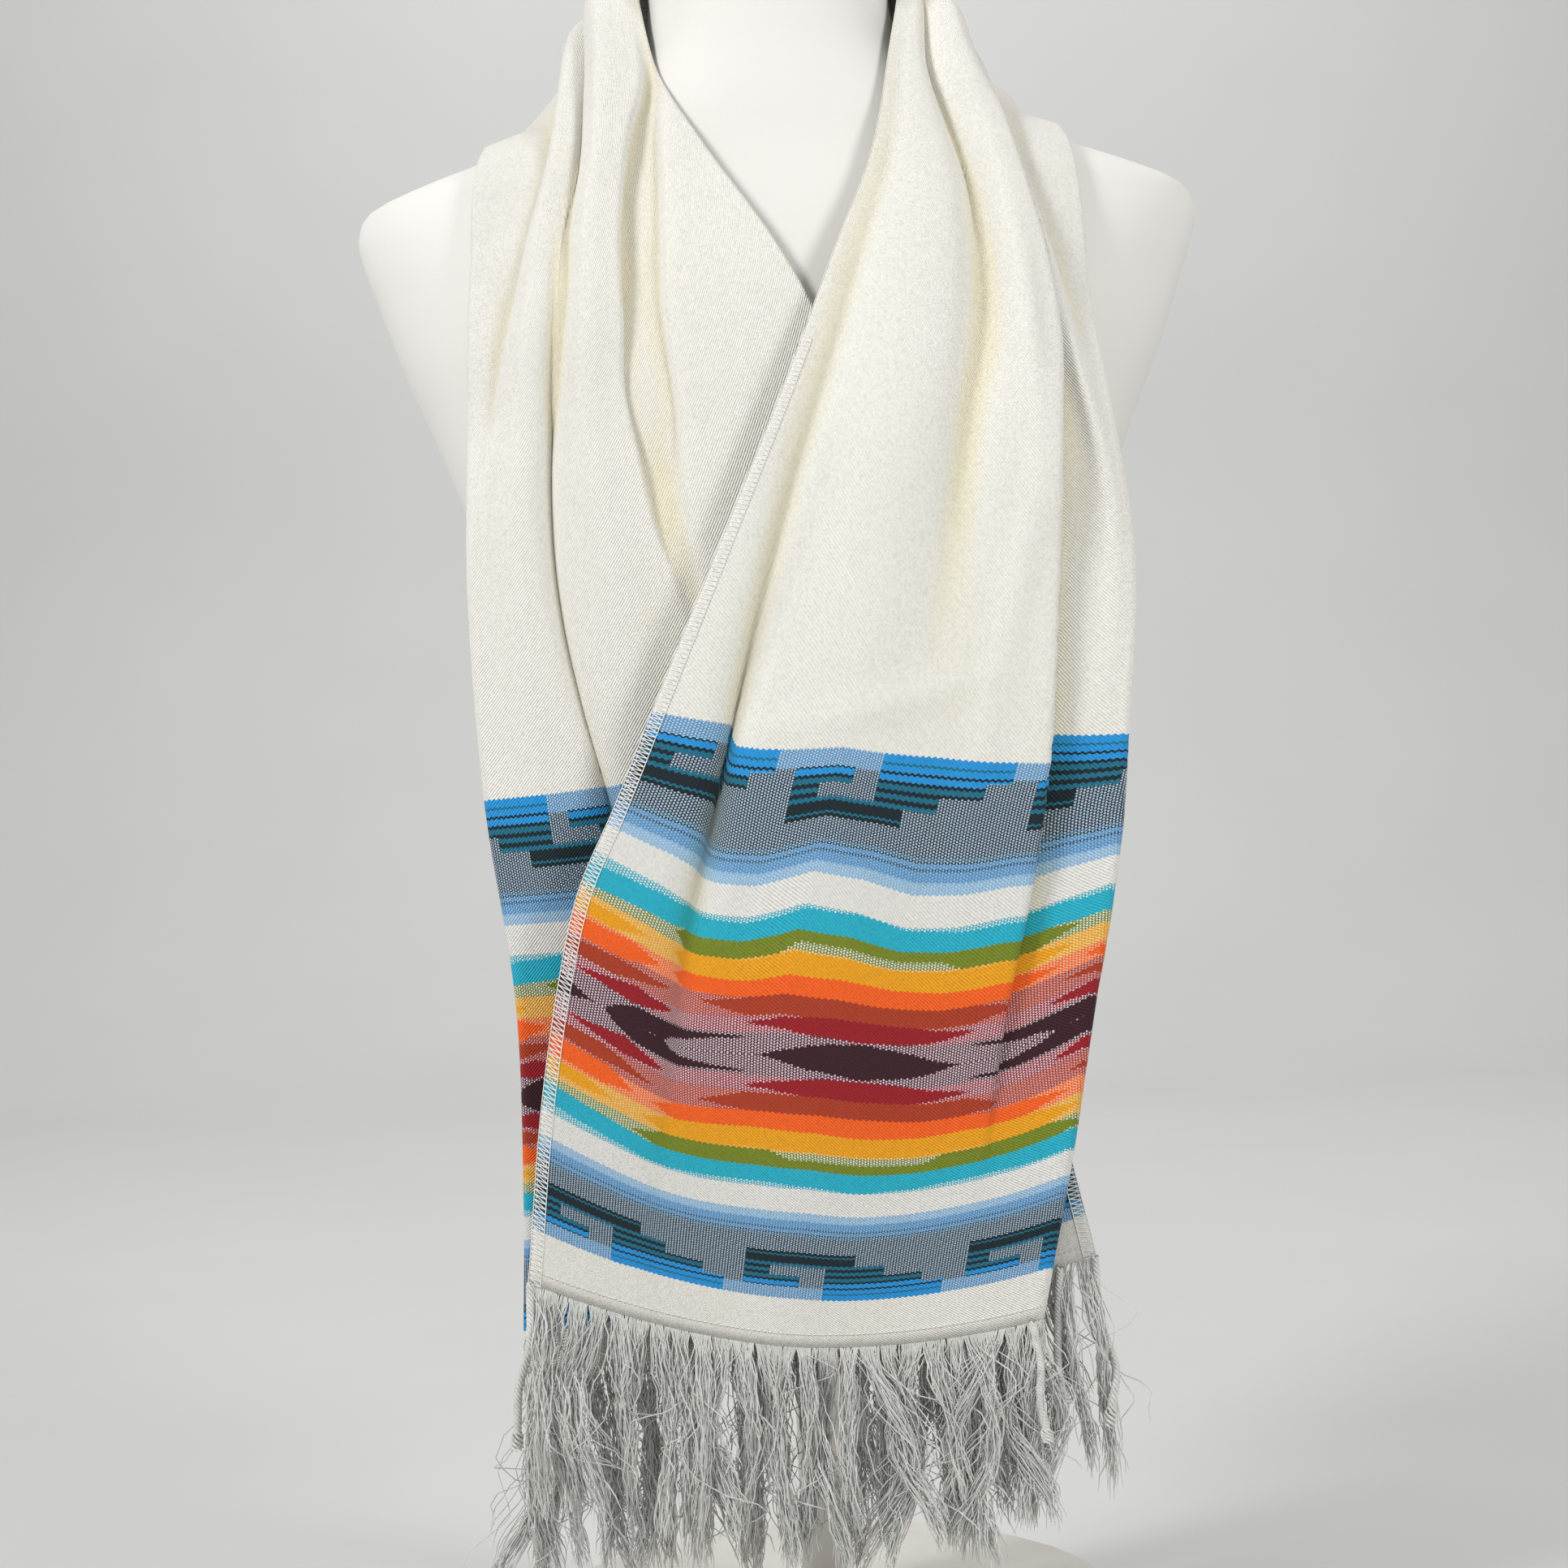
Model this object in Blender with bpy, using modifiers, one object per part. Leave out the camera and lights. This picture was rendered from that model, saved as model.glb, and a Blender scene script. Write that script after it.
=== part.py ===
"""A woven scarf with fringed ends, hung round the neck of a limbless dress form on a low stand.

Metres, +Z up, the front faces -Y. The origin is the centre of the stand's underside.
The scarf is one cloth. Its length runs from the hem on the +X side (0), up over that
shoulder, round the back of the neck and down the -X side to the other hem.
Its width runs from the edge that lies at the neck (0) to the outer edge (1).
"""

import math
from collections import namedtuple

import bmesh
import bpy
import numpy as np

# Sizes of the cloth
CLOTH_LENGTH = 1.520
CLOTH_WIDTH = 0.280
CLOTH_WALL = 0.0012
EDGE_RADIUS = 0.003
PRESSED_RADIUS = 0.0012
PRESSED_FROM = 0.48
PRESSED_EASE = 0.10
SEAM_GAP = 0.0003
SEAM_ALONG = 0.0007
FALL_LENGTH = 0.640
ROOM_FOR_FORM = 0.0012
ROOM_STEPS = 8
LARGEST_PUSH = 0.006
SMALL_STEP = 0.0005
SHORT_WAY = 0.002
SAG_POWER = 0.9
TURNED_FROM = 0.45
TURNED_EASE = 0.20
CHEST = 0.400

# Grid of the cloth's wall
FRONT_COLUMNS = 25
EDGE_COLUMNS = 4
BACK_COLUMNS = 2
HANGING_ROWS = 13
CHEST_ROWS = 16
WRAP_ROWS = 14

# Fringe
BACKING_HEIGHT = 0.005
BACKING_GAP = 0.0005
HEM_STEP = 0.010
LOCK_INSET = 0.0004
FRINGE_LENGTH = 0.104
LOCK_STEPS = 3
LOCKS = 42
LOCK_TAPER = 0.88
LOCK_END = 0.45
LOCK_WAVE = 0.0022
LOCK_EVENNESS = 0.86

# Form and stand
FORM_SIDES = 32
FORM_ROUNDNESS = 2.3
CAP_HEIGHT = 0.006
CAP_SIDE = 0.0036
CAP_MARGIN = 0.001
CAP_BEVEL = 0.003
POLE_RADIUS = 0.0125
BASE_RADIUS = 0.140
BASE_HEIGHT = 0.018
BASE_BEVEL = 0.004

# One row for each section of the cloth, in millimetres: its distance along the cloth,
# the neck edge (ax, ay, az), the outer edge (bx, by, bz), how far the section bows
# outwards, how far its middle sags, and how much of the outer edge is turned behind.
Section = namedtuple("Section", "at ax ay az bx by bz bow sag turned")
SECTIONS = (
    Section(0, -125, -131, 199, 94, -129, 174, 0, 19, 50),
    Section(80, -117, -131, 278, 112, -129, 252, 1, 27, 50),
    Section(160, -101, -131, 356, 127, -128, 330, 2, 27, 50),
    Section(256, -62, -131, 444, 142, -126, 424, 3, 11, 50),
    Section(340, -28, -128, 520, 149, -120, 500, 4, 5, 48),
    Section(420, 4, -121, 593, 144, -112, 566, 5, 2, 45),
    Section(480, 25, -105, 646, 140, -93, 617, 5, 0, 42),
    Section(540, 44, -78, 695, 137, -73, 668, 4, 0, 40),
    Section(600, 54, -44, 746, 134, -42, 706, 2, 0, 38),
    Section(650, 59, -6, 790, 132, 2, 716, 2, 0, 36),
    Section(705, 42, 44, 812, 104, 66, 718, 6, 0, 34),
    Section(760, 0, 61, 820, 0, 98, 712, 10, 0, 32),
    Section(815, -42, 44, 814, -104, 66, 718, 6, 0, 30),
    Section(870, -59, -6, 792, -132, 2, 716, 3, 0, 28),
    Section(920, -55, -44, 748, -135, -42, 705, 3, 0, 26),
    Section(980, -33, -72, 703, -138, -73, 664, 3, 0, 24),
    Section(1040, -3, -95, 654, -139, -91, 616, 4, 0, 24),
    Section(1100, 23, -106, 603, -139, -100, 573, 5, 2, 24),
    Section(1180, 57, -112, 530, -140, -109, 494, 3, 4, 24),
    Section(1264, 79, -113, 450, -136, -111, 410, 2, 8, 24),
    Section(1360, 97, -113, 355, -125, -112, 315, 2, 10, 24),
    Section(1440, 106, -113, 276, -125, -112, 236, 2, 10, 24),
    Section(1520, 122, -113, 198, -128, -112, 156, 1, 8, 24),
)

# One row for each large fold: which fall it is on, its kind and its width in millimetres,
# and its line as points of distance from the hem, place across the section (0 to 1) and
# depth in millimetres. A negative depth is a ridge.
Fold = namedtuple("Fold", "fall kind wide line")
BACK_OF_NECK = 0.760
NECK_STATION = 0.650
FOLDS = (
    Fold("right", "groove", 6, (
        (0, 0.22, 0), (190, 0.19, 5), (258, 0.165, 9), (376, 0.107, 8), (446, 0.09, 5), (650, 0.06, 4),
        (760, 0.08, 3))),
    Fold("right", "groove", 18, (
        (0, 0.5, -2), (256, 0.45, -2), (330, 0.38, -5), (450, 0.32, -5), (650, 0.12, -2),
        (760, 0.2, -3))),
    Fold("right", "groove", 8, (
        (280, 0.55, 0), (412, 0.55, 8), (478, 0.57, 11), (534, 0.49, 12), (600, 0.25, 12),
        (650, 0.16, 10), (760, 0.28, 8))),
    Fold("right", "groove", 7, (
        (120, 0.7, 0), (330, 0.72, -2), (440, 0.74, -6), (544, 0.61, -6), (606, 0.44, -6),
        (650, 0.22, -4), (760, 0.4, -4))),
    Fold("right", "step", 4, (
        (60, 0.84, 0), (130, 0.83, 4), (224, 0.83, 8), (334, 0.80, 8), (462, 0.83, 8), (568, 0.63, 8),
        (606, 0.52, 8), (650, 0.28, 6), (760, 0.52, 7))),
    Fold("right", "groove", 5, (
        (256, 0.95, 0), (350, 0.97, -2), (446, 0.91, -5), (524, 0.785, -6), (606, 0.60, -6),
        (654, 0.47, -5), (760, 0.72, -5))),
    Fold("right", "groove", 15, ((530, 0.1, 0), (590, 0.15, -4), (650, 0.2, -9), (760, 0.2, -6))),
    Fold("left", "groove", 7, (
        (200, 0.85, 0), (352, 0.9, -3), (430, 0.86, -5), (530, 0.63, -6), (600, 0.42, -6),
        (650, 0.22, -4), (760, 0.38, -4))),
    Fold("left", "groove", 7, (
        (140, 0.74, 0), (248, 0.763, 6), (352, 0.817, 10), (422, 0.77, 10), (476, 0.69, 11),
        (568, 0.46, 11), (616, 0.303, 11), (650, 0.15, 9), (760, 0.46, 8))),
    Fold("left", "groove", 7, (
        (250, 0.7, 0), (344, 0.7, -4), (414, 0.68, -5), (520, 0.49, -6), (600, 0.25, -5),
        (650, 0.1, -4), (760, 0.56, -4))),
    Fold("left", "groove", 10, (
        (290, 0.48, 0), (364, 0.53, 6), (400, 0.527, 7), (450, 0.467, 7), (526, 0.317, 8),
        (600, 0.15, 6), (650, 0.05, 4), (760, 0.68, 6))),
    Fold("left", "groove", 9, (
        (300, 0.45, 0), (396, 0.42, -3), (448, 0.34, -4), (526, 0.19, -4), (650, 0, -2),
        (760, 0.85, -3))),
    Fold("left", "groove", 16, ((0, 0.20, 4), (256, 0.22, 2), (470, 0.18, 0))),
    Fold("left", "groove", 22, ((0, 0.48, -4), (256, 0.42, -2), (400, 0.42, 0))),
    Fold("left", "groove", 16, (
        (530, 0.4, 0), (580, 0.35, -4), (616, 0.3, -8), (650, 0.22, -14), (760, 0.22, -6))),
)

# One row for each section of the form, in millimetres
FormSection = namedtuple("FormSection", "height half_width front back")
FORM_SECTIONS = (
    FormSection(377, 117, 80, 74),
    FormSection(410, 118, 82, 76),
    FormSection(450, 123, 90, 80),
    FormSection(495, 137, 100, 86),
    FormSection(543, 153, 106, 91),
    FormSection(580, 167, 105, 95),
    FormSection(614, 181, 99, 98),
    FormSection(643, 191, 90, 99),
    FormSection(664, 198, 82, 98),
    FormSection(678, 200, 76, 95),
    FormSection(689, 194, 71, 91),
    FormSection(698, 174, 67, 86),
    FormSection(710, 139, 63, 78),
    FormSection(723, 105, 60, 70),
    FormSection(737, 80, 57, 63),
    FormSection(752, 66, 54, 58),
    FormSection(772, 59, 52, 55),
    FormSection(800, 57, 51, 54),
    FormSection(835, 56, 51, 54),
)
FORM_TOP = 0.835
FORM_BOTTOM = 0.377
MM = 0.001


def smooth_curve(knots, values, at):
    """Reads a smooth curve through the table's values at the places asked for."""
    knots = np.asarray(knots, float)
    values = np.asarray(values, float)
    at = np.asarray(at, float)
    slopes = np.gradient(values, knots)
    low = np.clip(np.searchsorted(knots, at, side="right") - 1, 0, len(knots) - 2)
    span = knots[low + 1] - knots[low]
    part = np.clip((at - knots[low]) / span, 0, 1)
    rise = values[low] * (2 * part**3 - 3 * part**2 + 1) + values[low + 1] * (3 * part**2 - 2 * part**3)
    lean = slopes[low] * (part**3 - 2 * part**2 + part) + slopes[low + 1] * (part**3 - part**2)
    return rise + lean * span


def section_column(name, along):
    """A column of the section table at distances along the cloth, in metres."""
    knots = [row.at for row in SECTIONS]
    return smooth_curve(knots, [getattr(row, name) for row in SECTIONS], along / MM) * MM


def section_ends(along):
    neck_edge = np.stack([section_column(name, along) for name in ("ax", "ay", "az")], axis=-1)
    outer_edge = np.stack([section_column(name, along) for name in ("bx", "by", "bz")], axis=-1)
    return neck_edge, outer_edge


def edge_radius(along):
    """Radius of the turned edge: round where the falls hang, pressed flatter over the shoulders."""
    from_hem = np.minimum(along, CLOTH_LENGTH - along)
    pressed = np.clip((from_hem - PRESSED_FROM) / PRESSED_EASE, 0, 1)
    return EDGE_RADIUS + (PRESSED_RADIUS - EDGE_RADIUS) * pressed * pressed * (3 - 2 * pressed)


def unit(vectors):
    return vectors / np.maximum(np.linalg.norm(vectors, axis=-1, keepdims=True), 1e-12)


def fold_values(along, across, chord):
    """Lift of the cloth's wall by its folds, positive outwards."""
    from_hem = {"right": along, "left": CLOTH_LENGTH - along}
    back = np.clip((along - NECK_STATION) / (CLOTH_LENGTH - 2 * NECK_STATION), 0, 1)
    back = back * back * (3 - 2 * back)
    share = {"right": 1 - back, "left": back}
    lift = np.zeros(np.broadcast(along, across).shape)
    for fold in FOLDS:
        distance = np.minimum(from_hem[fold.fall], BACK_OF_NECK) / MM
        stations, places, depths = zip(*fold.line)
        place = smooth_curve(stations, places, distance)
        depth = smooth_curve(stations, depths, distance) * MM * share[fold.fall]
        offset = (across - place) * chord / (fold.wide * MM)
        if fold.kind == "step":
            shape = 1 / (1 + np.exp(-2 * offset))
        else:
            shape = np.exp(-offset * offset / 2)
        lift = lift - depth * shape
    return lift


def form_radius(points):
    """1 on the form's surface, less inside it and more outside, with its size at each height."""
    height = np.clip(points[..., 2] / MM, FORM_SECTIONS[0].height, FORM_SECTIONS[-1].height)
    knots = [row.height for row in FORM_SECTIONS]
    wide = smooth_curve(knots, [row.half_width for row in FORM_SECTIONS], height) * MM
    front = smooth_curve(knots, [row.front for row in FORM_SECTIONS], height) * MM
    back = smooth_curve(knots, [row.back for row in FORM_SECTIONS], height) * MM
    deep = np.where(points[..., 1] < 0, front, back)
    x = np.abs(points[..., 0]) / wide
    y = np.abs(points[..., 1]) / deep
    return (x**FORM_ROUNDNESS + y**FORM_ROUNDNESS) ** (1 / FORM_ROUNDNESS)


def clear_of_form(points, room):
    """Moves points straight off the form's surface until they have room to it."""
    points = points.copy()
    for _ in range(ROOM_STEPS):
        here = form_radius(points)
        slope = np.stack(
            [(form_radius(points + SMALL_STEP * axis) - here) / SMALL_STEP for axis in np.eye(3)], axis=-1
        )
        steep = np.maximum(np.linalg.norm(slope, axis=-1), 1e-6)
        short = room - (here - 1) / steep
        push = np.clip(short, 0, LARGEST_PUSH)
        points += slope / steep[..., None] * push[..., None]
    return points


def cloth_points(along, width_part):
    """The middle of the cloth's wall, for a row of width parts at each distance along it."""
    along = np.asarray(along, float)[:, None]
    width_part = np.broadcast_to(width_part, (len(along), np.shape(width_part)[-1]))
    neck_edge, outer_edge = section_ends(along)
    ahead = sum(section_ends(along + SHORT_WAY))
    behind = sum(section_ends(along - SHORT_WAY))
    across = outer_edge - neck_edge
    chord = np.linalg.norm(across, axis=-1)
    sideways = unit(across)
    outwards = unit(np.cross(across, ahead - behind))
    front_width = CLOTH_WIDTH - section_column("turned", along)
    part = np.clip(width_part * CLOTH_WIDTH / front_width, 0, 1)
    arch = np.sin(math.pi * part)
    lift = section_column("bow", along) * arch + fold_values(along, part, chord)
    sag = section_column("sag", along) * np.maximum(arch, 0) ** SAG_POWER
    behind_edge = np.maximum(width_part * CLOTH_WIDTH - front_width, 0)
    radius = edge_radius(along)
    turn = np.minimum(behind_edge / radius, math.pi)
    slide = radius * np.sin(turn) - np.maximum(behind_edge - math.pi * radius, 0)
    lift = lift - radius * (1 - np.cos(turn))
    points = neck_edge + part[..., None] * across
    points = points + slide[..., None] * sideways + lift[..., None] * outwards
    points[..., 2] -= sag
    over_the_edge = np.clip((part - TURNED_FROM) / TURNED_EASE, 0, 1) * (1 + np.cos(turn)) / 2
    room = ROOM_FOR_FORM + CLOTH_WALL / 2 + over_the_edge * (2 * radius + CLOTH_WALL)
    return clear_of_form(points, room)


def cloth_columns(along):
    """Width parts for each distance: even over the front, then round the turned edge and behind it."""
    along = np.asarray(along, float)[:, None]
    edge = 1 - section_column("turned", along) / CLOTH_WIDTH
    bend = math.pi * edge_radius(along) / CLOTH_WIDTH
    front = edge * np.linspace(0, 1, FRONT_COLUMNS)
    turn = edge + bend * np.linspace(0, 1, EDGE_COLUMNS + 1)[1:]
    back = edge + bend + (1 - edge - bend) * np.linspace(0, 1, BACK_COLUMNS + 1)[1:]
    return np.concatenate([front, turn, back], axis=1)


def material(name, colour, roughness, metallic=0.0):
    made = bpy.data.materials.new(name)
    made.use_nodes = True
    shader = made.node_tree.nodes["Principled BSDF"]
    shader.inputs["Base Color"].default_value = (*colour, 1)
    shader.inputs["Roughness"].default_value = roughness
    shader.inputs["Metallic"].default_value = metallic
    return made


def add_object(name, bm, collection, surface):
    mesh = bpy.data.meshes.new(name)
    bm.to_mesh(mesh)
    bm.free()
    mesh.shade_smooth()
    mesh.set_sharp_from_angle(angle=math.radians(40))
    mesh.materials.append(surface)
    made = bpy.data.objects.new(name, mesh)
    collection.objects.link(made)
    return made


def fall_rows(end):
    """Distances from a hem: well apart where the fall hangs, close where it lies on the form."""
    hanging = np.linspace(0, CHEST, HANGING_ROWS)
    return np.concatenate([hanging, np.linspace(CHEST, end, CHEST_ROWS)[1:]])


def cloth_wall(name, along, collection, surface):
    """A stretch of the cloth as a grid laid on the cloth's points, thickened to its wall."""
    points = cloth_points(along, cloth_columns(along))
    rows, columns = points.shape[:2]
    bm = bmesh.new()
    bmesh.ops.create_grid(bm, x_segments=rows - 1, y_segments=columns - 1, size=1)
    for vert in bm.verts:
        row = round((vert.co.x + 1) / 2 * (rows - 1))
        column = round((vert.co.y + 1) / 2 * (columns - 1))
        vert.co = points[row, column]
    bm.normal_update()
    wall = add_object(name, bm, collection, surface)
    thick = wall.modifiers.new("Wall", "SOLIDIFY")
    thick.thickness = CLOTH_WALL
    thick.offset = 0
    thick.use_quality_normals = True
    return wall


def fringe(name, hem, side, collection, surface):
    """A narrow backing under a hem, with tapered locks that hang from it.

    hem is the distance along the cloth of the hem, and side is the way down the cloth
    from there: -1 at the start of the cloth and 1 at its end.
    """
    columns = np.linspace(0, 1, LOCKS + 1)
    inside = cloth_points([hem, hem - side * HEM_STEP], columns)
    root = inside[0]
    normal = unit(np.cross(np.gradient(root, axis=0), side * (inside[1] - inside[0])))
    top = root - np.array([0, 0, BACKING_GAP])
    bottom = root - np.array([0, 0, BACKING_HEIGHT])
    half = normal * CLOTH_WALL / 2
    half[:, 2] = 0
    bm = bmesh.new()
    corners = np.stack([top - half, top + half, bottom + half, bottom - half], axis=1)
    rings = [[bm.verts.new(point) for point in ring] for ring in corners]
    under = []
    for first, second in zip(rings, rings[1:]):
        faces = []
        for side_face in range(4):
            after = (side_face + 1) % 4
            faces.append(bm.faces.new((first[side_face], first[after], second[after], second[side_face])))
        under.append(faces[2])
    bm.faces.new(rings[0][::-1])
    bm.faces.new(rings[-1])
    bmesh.ops.recalc_face_normals(bm, faces=bm.faces)
    bmesh.ops.inset_individual(bm, faces=under, thickness=LOCK_INSET)
    for step in range(LOCK_STEPS):
        made = bmesh.ops.extrude_discrete_faces(bm, faces=under)
        under = made["faces"]
        for lock, face in enumerate(under):
            hang_lock(face, lock, step)
    bmesh.ops.recalc_face_normals(bm, faces=bm.faces)
    return add_object(name, bm, collection, surface)


def hang_lock(face, lock, step):
    """Moves the end of one lock down by a step, a little aside, and tapers it."""
    uneven = LOCK_EVENNESS + 0.10 * math.sin(lock * 2.4) + 0.05 * math.sin(lock * 5.3 + 1)
    drop = (FRINGE_LENGTH - BACKING_HEIGHT) * uneven / LOCK_STEPS
    wave = LOCK_WAVE * math.sin(lock * 0.55 + step * 1.2)
    centre = face.calc_center_median()
    narrow = LOCK_TAPER if step < LOCK_STEPS - 1 else LOCK_END
    for vert in face.verts:
        vert.co = centre + (vert.co - centre) * narrow
        vert.co.x += wave
        vert.co.z -= drop


def ring_points(height, half_width, front, back):
    """A rounded outline of the form at one height."""
    points = []
    for side in range(FORM_SIDES):
        angle = 2 * math.pi * side / FORM_SIDES
        x = math.copysign(abs(math.cos(angle)) ** (2 / FORM_ROUNDNESS), math.cos(angle))
        y = math.copysign(abs(math.sin(angle)) ** (2 / FORM_ROUNDNESS), math.sin(angle))
        points.append((x * half_width, y * (back if y > 0 else front), height))
    return points


def dress_form(collection, surface):
    bm = bmesh.new()
    rings = []
    for row in FORM_SECTIONS:
        rings.append([bm.verts.new(point) for point in ring_points(*(value * MM for value in row))])
    for low, high in zip(rings, rings[1:]):
        for side in range(FORM_SIDES):
            after = (side + 1) % FORM_SIDES
            bm.faces.new((low[side], low[after], high[after], high[side]))
    bm.faces.new(rings[0][::-1])
    bm.faces.new(rings[-1])
    return add_object("dress_form", bm, collection, surface)


def turned(name, radius, low, high, bevel, collection, surface):
    """A cylinder with rounded rims, from the height low to the height high."""
    bm = bmesh.new()
    bmesh.ops.create_cone(
        bm, cap_ends=True, segments=FORM_SIDES, radius1=radius, radius2=radius, depth=high - low
    )
    bmesh.ops.translate(bm, verts=bm.verts, vec=(0, 0, (low + high) / 2))
    if bevel:
        rims = [edge for edge in bm.edges if abs(edge.verts[0].co.z - edge.verts[1].co.z) < 1e-6]
        bmesh.ops.bevel(bm, geom=rims, offset=bevel, segments=2, profile=0.5, affect="EDGES")
    return add_object(name, bm, collection, surface)


def neck_cap(collection, surface):
    """A plain cap on the neck, a little inside its outline."""
    top_row = FORM_SECTIONS[-1]
    low = FORM_TOP + SEAM_GAP
    outlines = ((low, 0.0), (low + CAP_SIDE, 0.0), (low + CAP_HEIGHT, CAP_BEVEL))
    bm = bmesh.new()
    rings = []
    for height, inset in outlines:
        sizes = [value * MM - CAP_MARGIN - inset for value in top_row[1:]]
        rings.append([bm.verts.new(point) for point in ring_points(height, *sizes)])
    for low_ring, high_ring in zip(rings, rings[1:]):
        for side in range(FORM_SIDES):
            after = (side + 1) % FORM_SIDES
            bm.faces.new((low_ring[side], low_ring[after], high_ring[after], high_ring[side]))
    bm.faces.new(rings[0][::-1])
    bm.faces.new(rings[-1])
    return add_object("neck_cap", bm, collection, surface)


def main():
    for old in list(bpy.data.objects):
        bpy.data.objects.remove(old)
    collection = bpy.data.collections.new("scarf_on_dress_form")
    bpy.context.scene.collection.children.link(collection)

    cloth = material("cloth", (0.86, 0.85, 0.78), 0.75)
    yarn = material("yarn", (0.52, 0.51, 0.47), 0.8)
    cover = material("form_cover", (0.72, 0.71, 0.66), 0.6)
    paint = material("stand_paint", (0.60, 0.59, 0.56), 0.4)
    fall = fall_rows(FALL_LENGTH - SEAM_ALONG)
    wrap = np.linspace(FALL_LENGTH, CLOTH_LENGTH - FALL_LENGTH, WRAP_ROWS)
    cloth_wall("scarf_right_fall", fall, collection, cloth)
    cloth_wall("scarf_neck_wrap", wrap, collection, cloth.copy())
    cloth_wall("scarf_left_fall", CLOTH_LENGTH - fall[::-1], collection, cloth.copy())
    fringe("fringe_right_end", 0.0, -1, collection, yarn)
    fringe("fringe_left_end", CLOTH_LENGTH, 1, collection, yarn.copy())

    dress_form(collection, cover)
    neck_cap(collection, paint)
    pole_low = BASE_HEIGHT + SEAM_GAP
    turned("stand_pole", POLE_RADIUS, pole_low, FORM_BOTTOM - SEAM_GAP, 0, collection, paint.copy())
    turned("stand_base", BASE_RADIUS, 0, BASE_HEIGHT, BASE_BEVEL, collection, paint.copy())


main()
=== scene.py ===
"""The looks of a woven scarf with fringed ends on a limbless dress form.

The scarf is one cloth. Its length runs from the hem on the +X side (0), up over that
shoulder, round the back of the neck and down the -X side to the other hem.
Its width runs from the edge that lies at the neck (0) to the outer edge (1).
"""

import math
from collections import namedtuple

import bpy
import numpy as np
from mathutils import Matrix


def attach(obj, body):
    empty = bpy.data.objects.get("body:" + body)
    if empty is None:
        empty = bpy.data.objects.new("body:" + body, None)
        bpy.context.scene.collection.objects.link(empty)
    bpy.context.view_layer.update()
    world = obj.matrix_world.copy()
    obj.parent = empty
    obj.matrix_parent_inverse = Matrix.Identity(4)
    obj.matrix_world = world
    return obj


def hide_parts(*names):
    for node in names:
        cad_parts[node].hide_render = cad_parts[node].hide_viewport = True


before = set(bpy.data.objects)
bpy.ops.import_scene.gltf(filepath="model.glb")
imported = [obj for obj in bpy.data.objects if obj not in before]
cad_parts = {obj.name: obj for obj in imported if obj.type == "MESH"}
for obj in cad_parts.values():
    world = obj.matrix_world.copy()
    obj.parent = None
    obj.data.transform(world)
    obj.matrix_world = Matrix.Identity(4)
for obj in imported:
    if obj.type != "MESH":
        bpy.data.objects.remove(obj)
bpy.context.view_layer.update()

MM = 0.001

# Sizes of the cloth, the same as the solids'
CLOTH_LENGTH = 1.520
CLOTH_WIDTH = 0.280
CLOTH_WALL = 0.0012
EDGE_RADIUS = 0.003
PRESSED_RADIUS = 0.0012
PRESSED_FROM = 0.48
PRESSED_EASE = 0.10
ROOM_FOR_FORM = 0.0012

# How the cloth takes its shape: the steps that move it off the form, the curve of its sag,
# where the cloth turned behind adds its thickness, and how crisp the folds are
ROOM_STEPS = 8
LARGEST_PUSH = 0.006
SMALL_STEP = 0.0005
SHORT_WAY = 0.002
SAG_POWER = 0.9
TURNED_FROM = 0.45
TURNED_EASE = 0.2
LEAN_FROM_EDGES = 8
STEP_SHARPNESS = 2
HIDING_SHARPNESS = 3

# The thin shell that shows, and how finely its sections are traced to space its columns evenly
SHEET_WALL = 0.0007
SHEET_ROWS = 312
SHEET_COLUMNS = 156
TRACE_COLUMNS = 900
# How deep a fold must be for the full painted shade, and over how many columns either side it is measured
HOLLOW_DEPTH = 0.004
HOLLOW_REACH = 9

# One row for each section of the cloth, in millimetres: its distance along the cloth,
# the neck edge (ax, ay, az), the outer edge (bx, by, bz), how far the section bows
# outwards, how far its middle sags, and how much of the outer edge is turned behind.
Section = namedtuple("Section", "at ax ay az bx by bz bow sag turned")
SECTIONS = (
    Section(0, -125, -131, 199, 94, -129, 174, 0, 19, 50),
    Section(80, -115, -131, 284, 113, -129, 262, 1, 26, 50),
    Section(121, -107, -131, 328, 122, -128, 308, 2, 28, 49),
    Section(160, -98, -131, 364, 130, -128, 344, 2, 25, 46),
    Section(210, -79, -131, 405, 138, -127, 387, 3, 16, 42),
    Section(256, -62, -131, 444, 142, -126, 424, 3, 11, 50),
    Section(340, -28, -128, 520, 149, -120, 500, 4, 5, 48),
    Section(420, 4, -121, 593, 144, -112, 566, 5, 2, 45),
    Section(480, 25, -105, 646, 140, -93, 617, 5, 0, 42),
    Section(540, 44, -78, 695, 137, -73, 668, 4, 0, 40),
    Section(600, 54, -44, 746, 134, -42, 706, 2, 0, 38),
    Section(650, 59, -6, 790, 132, 2, 716, 2, 0, 36),
    Section(705, 42, 44, 812, 104, 66, 718, 6, 0, 34),
    Section(760, 0, 61, 820, 0, 98, 712, 10, 0, 32),
    Section(815, -42, 44, 814, -104, 66, 718, 6, 0, 30),
    Section(870, -59, -6, 792, -132, 2, 716, 3, 0, 28),
    Section(920, -55, -44, 748, -135, -42, 705, 3, 0, 26),
    Section(980, -33, -72, 703, -138, -73, 664, 3, 0, 24),
    Section(1040, -3, -95, 654, -139, -91, 616, 4, 0, 24),
    Section(1100, 23, -106, 603, -139, -100, 573, 5, 2, 24),
    Section(1180, 57, -112, 530, -140, -109, 494, 3, 4, 24),
    Section(1264, 79, -113, 450, -136, -111, 410, 2, 8, 24),
    Section(1360, 97, -113, 355, -125, -112, 315, 2, 10, 24),
    Section(1440, 106, -113, 276, -125, -112, 236, 2, 10, 24),
    Section(1520, 122, -113, 198, -128, -112, 156, 1, 8, 24),
)

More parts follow.
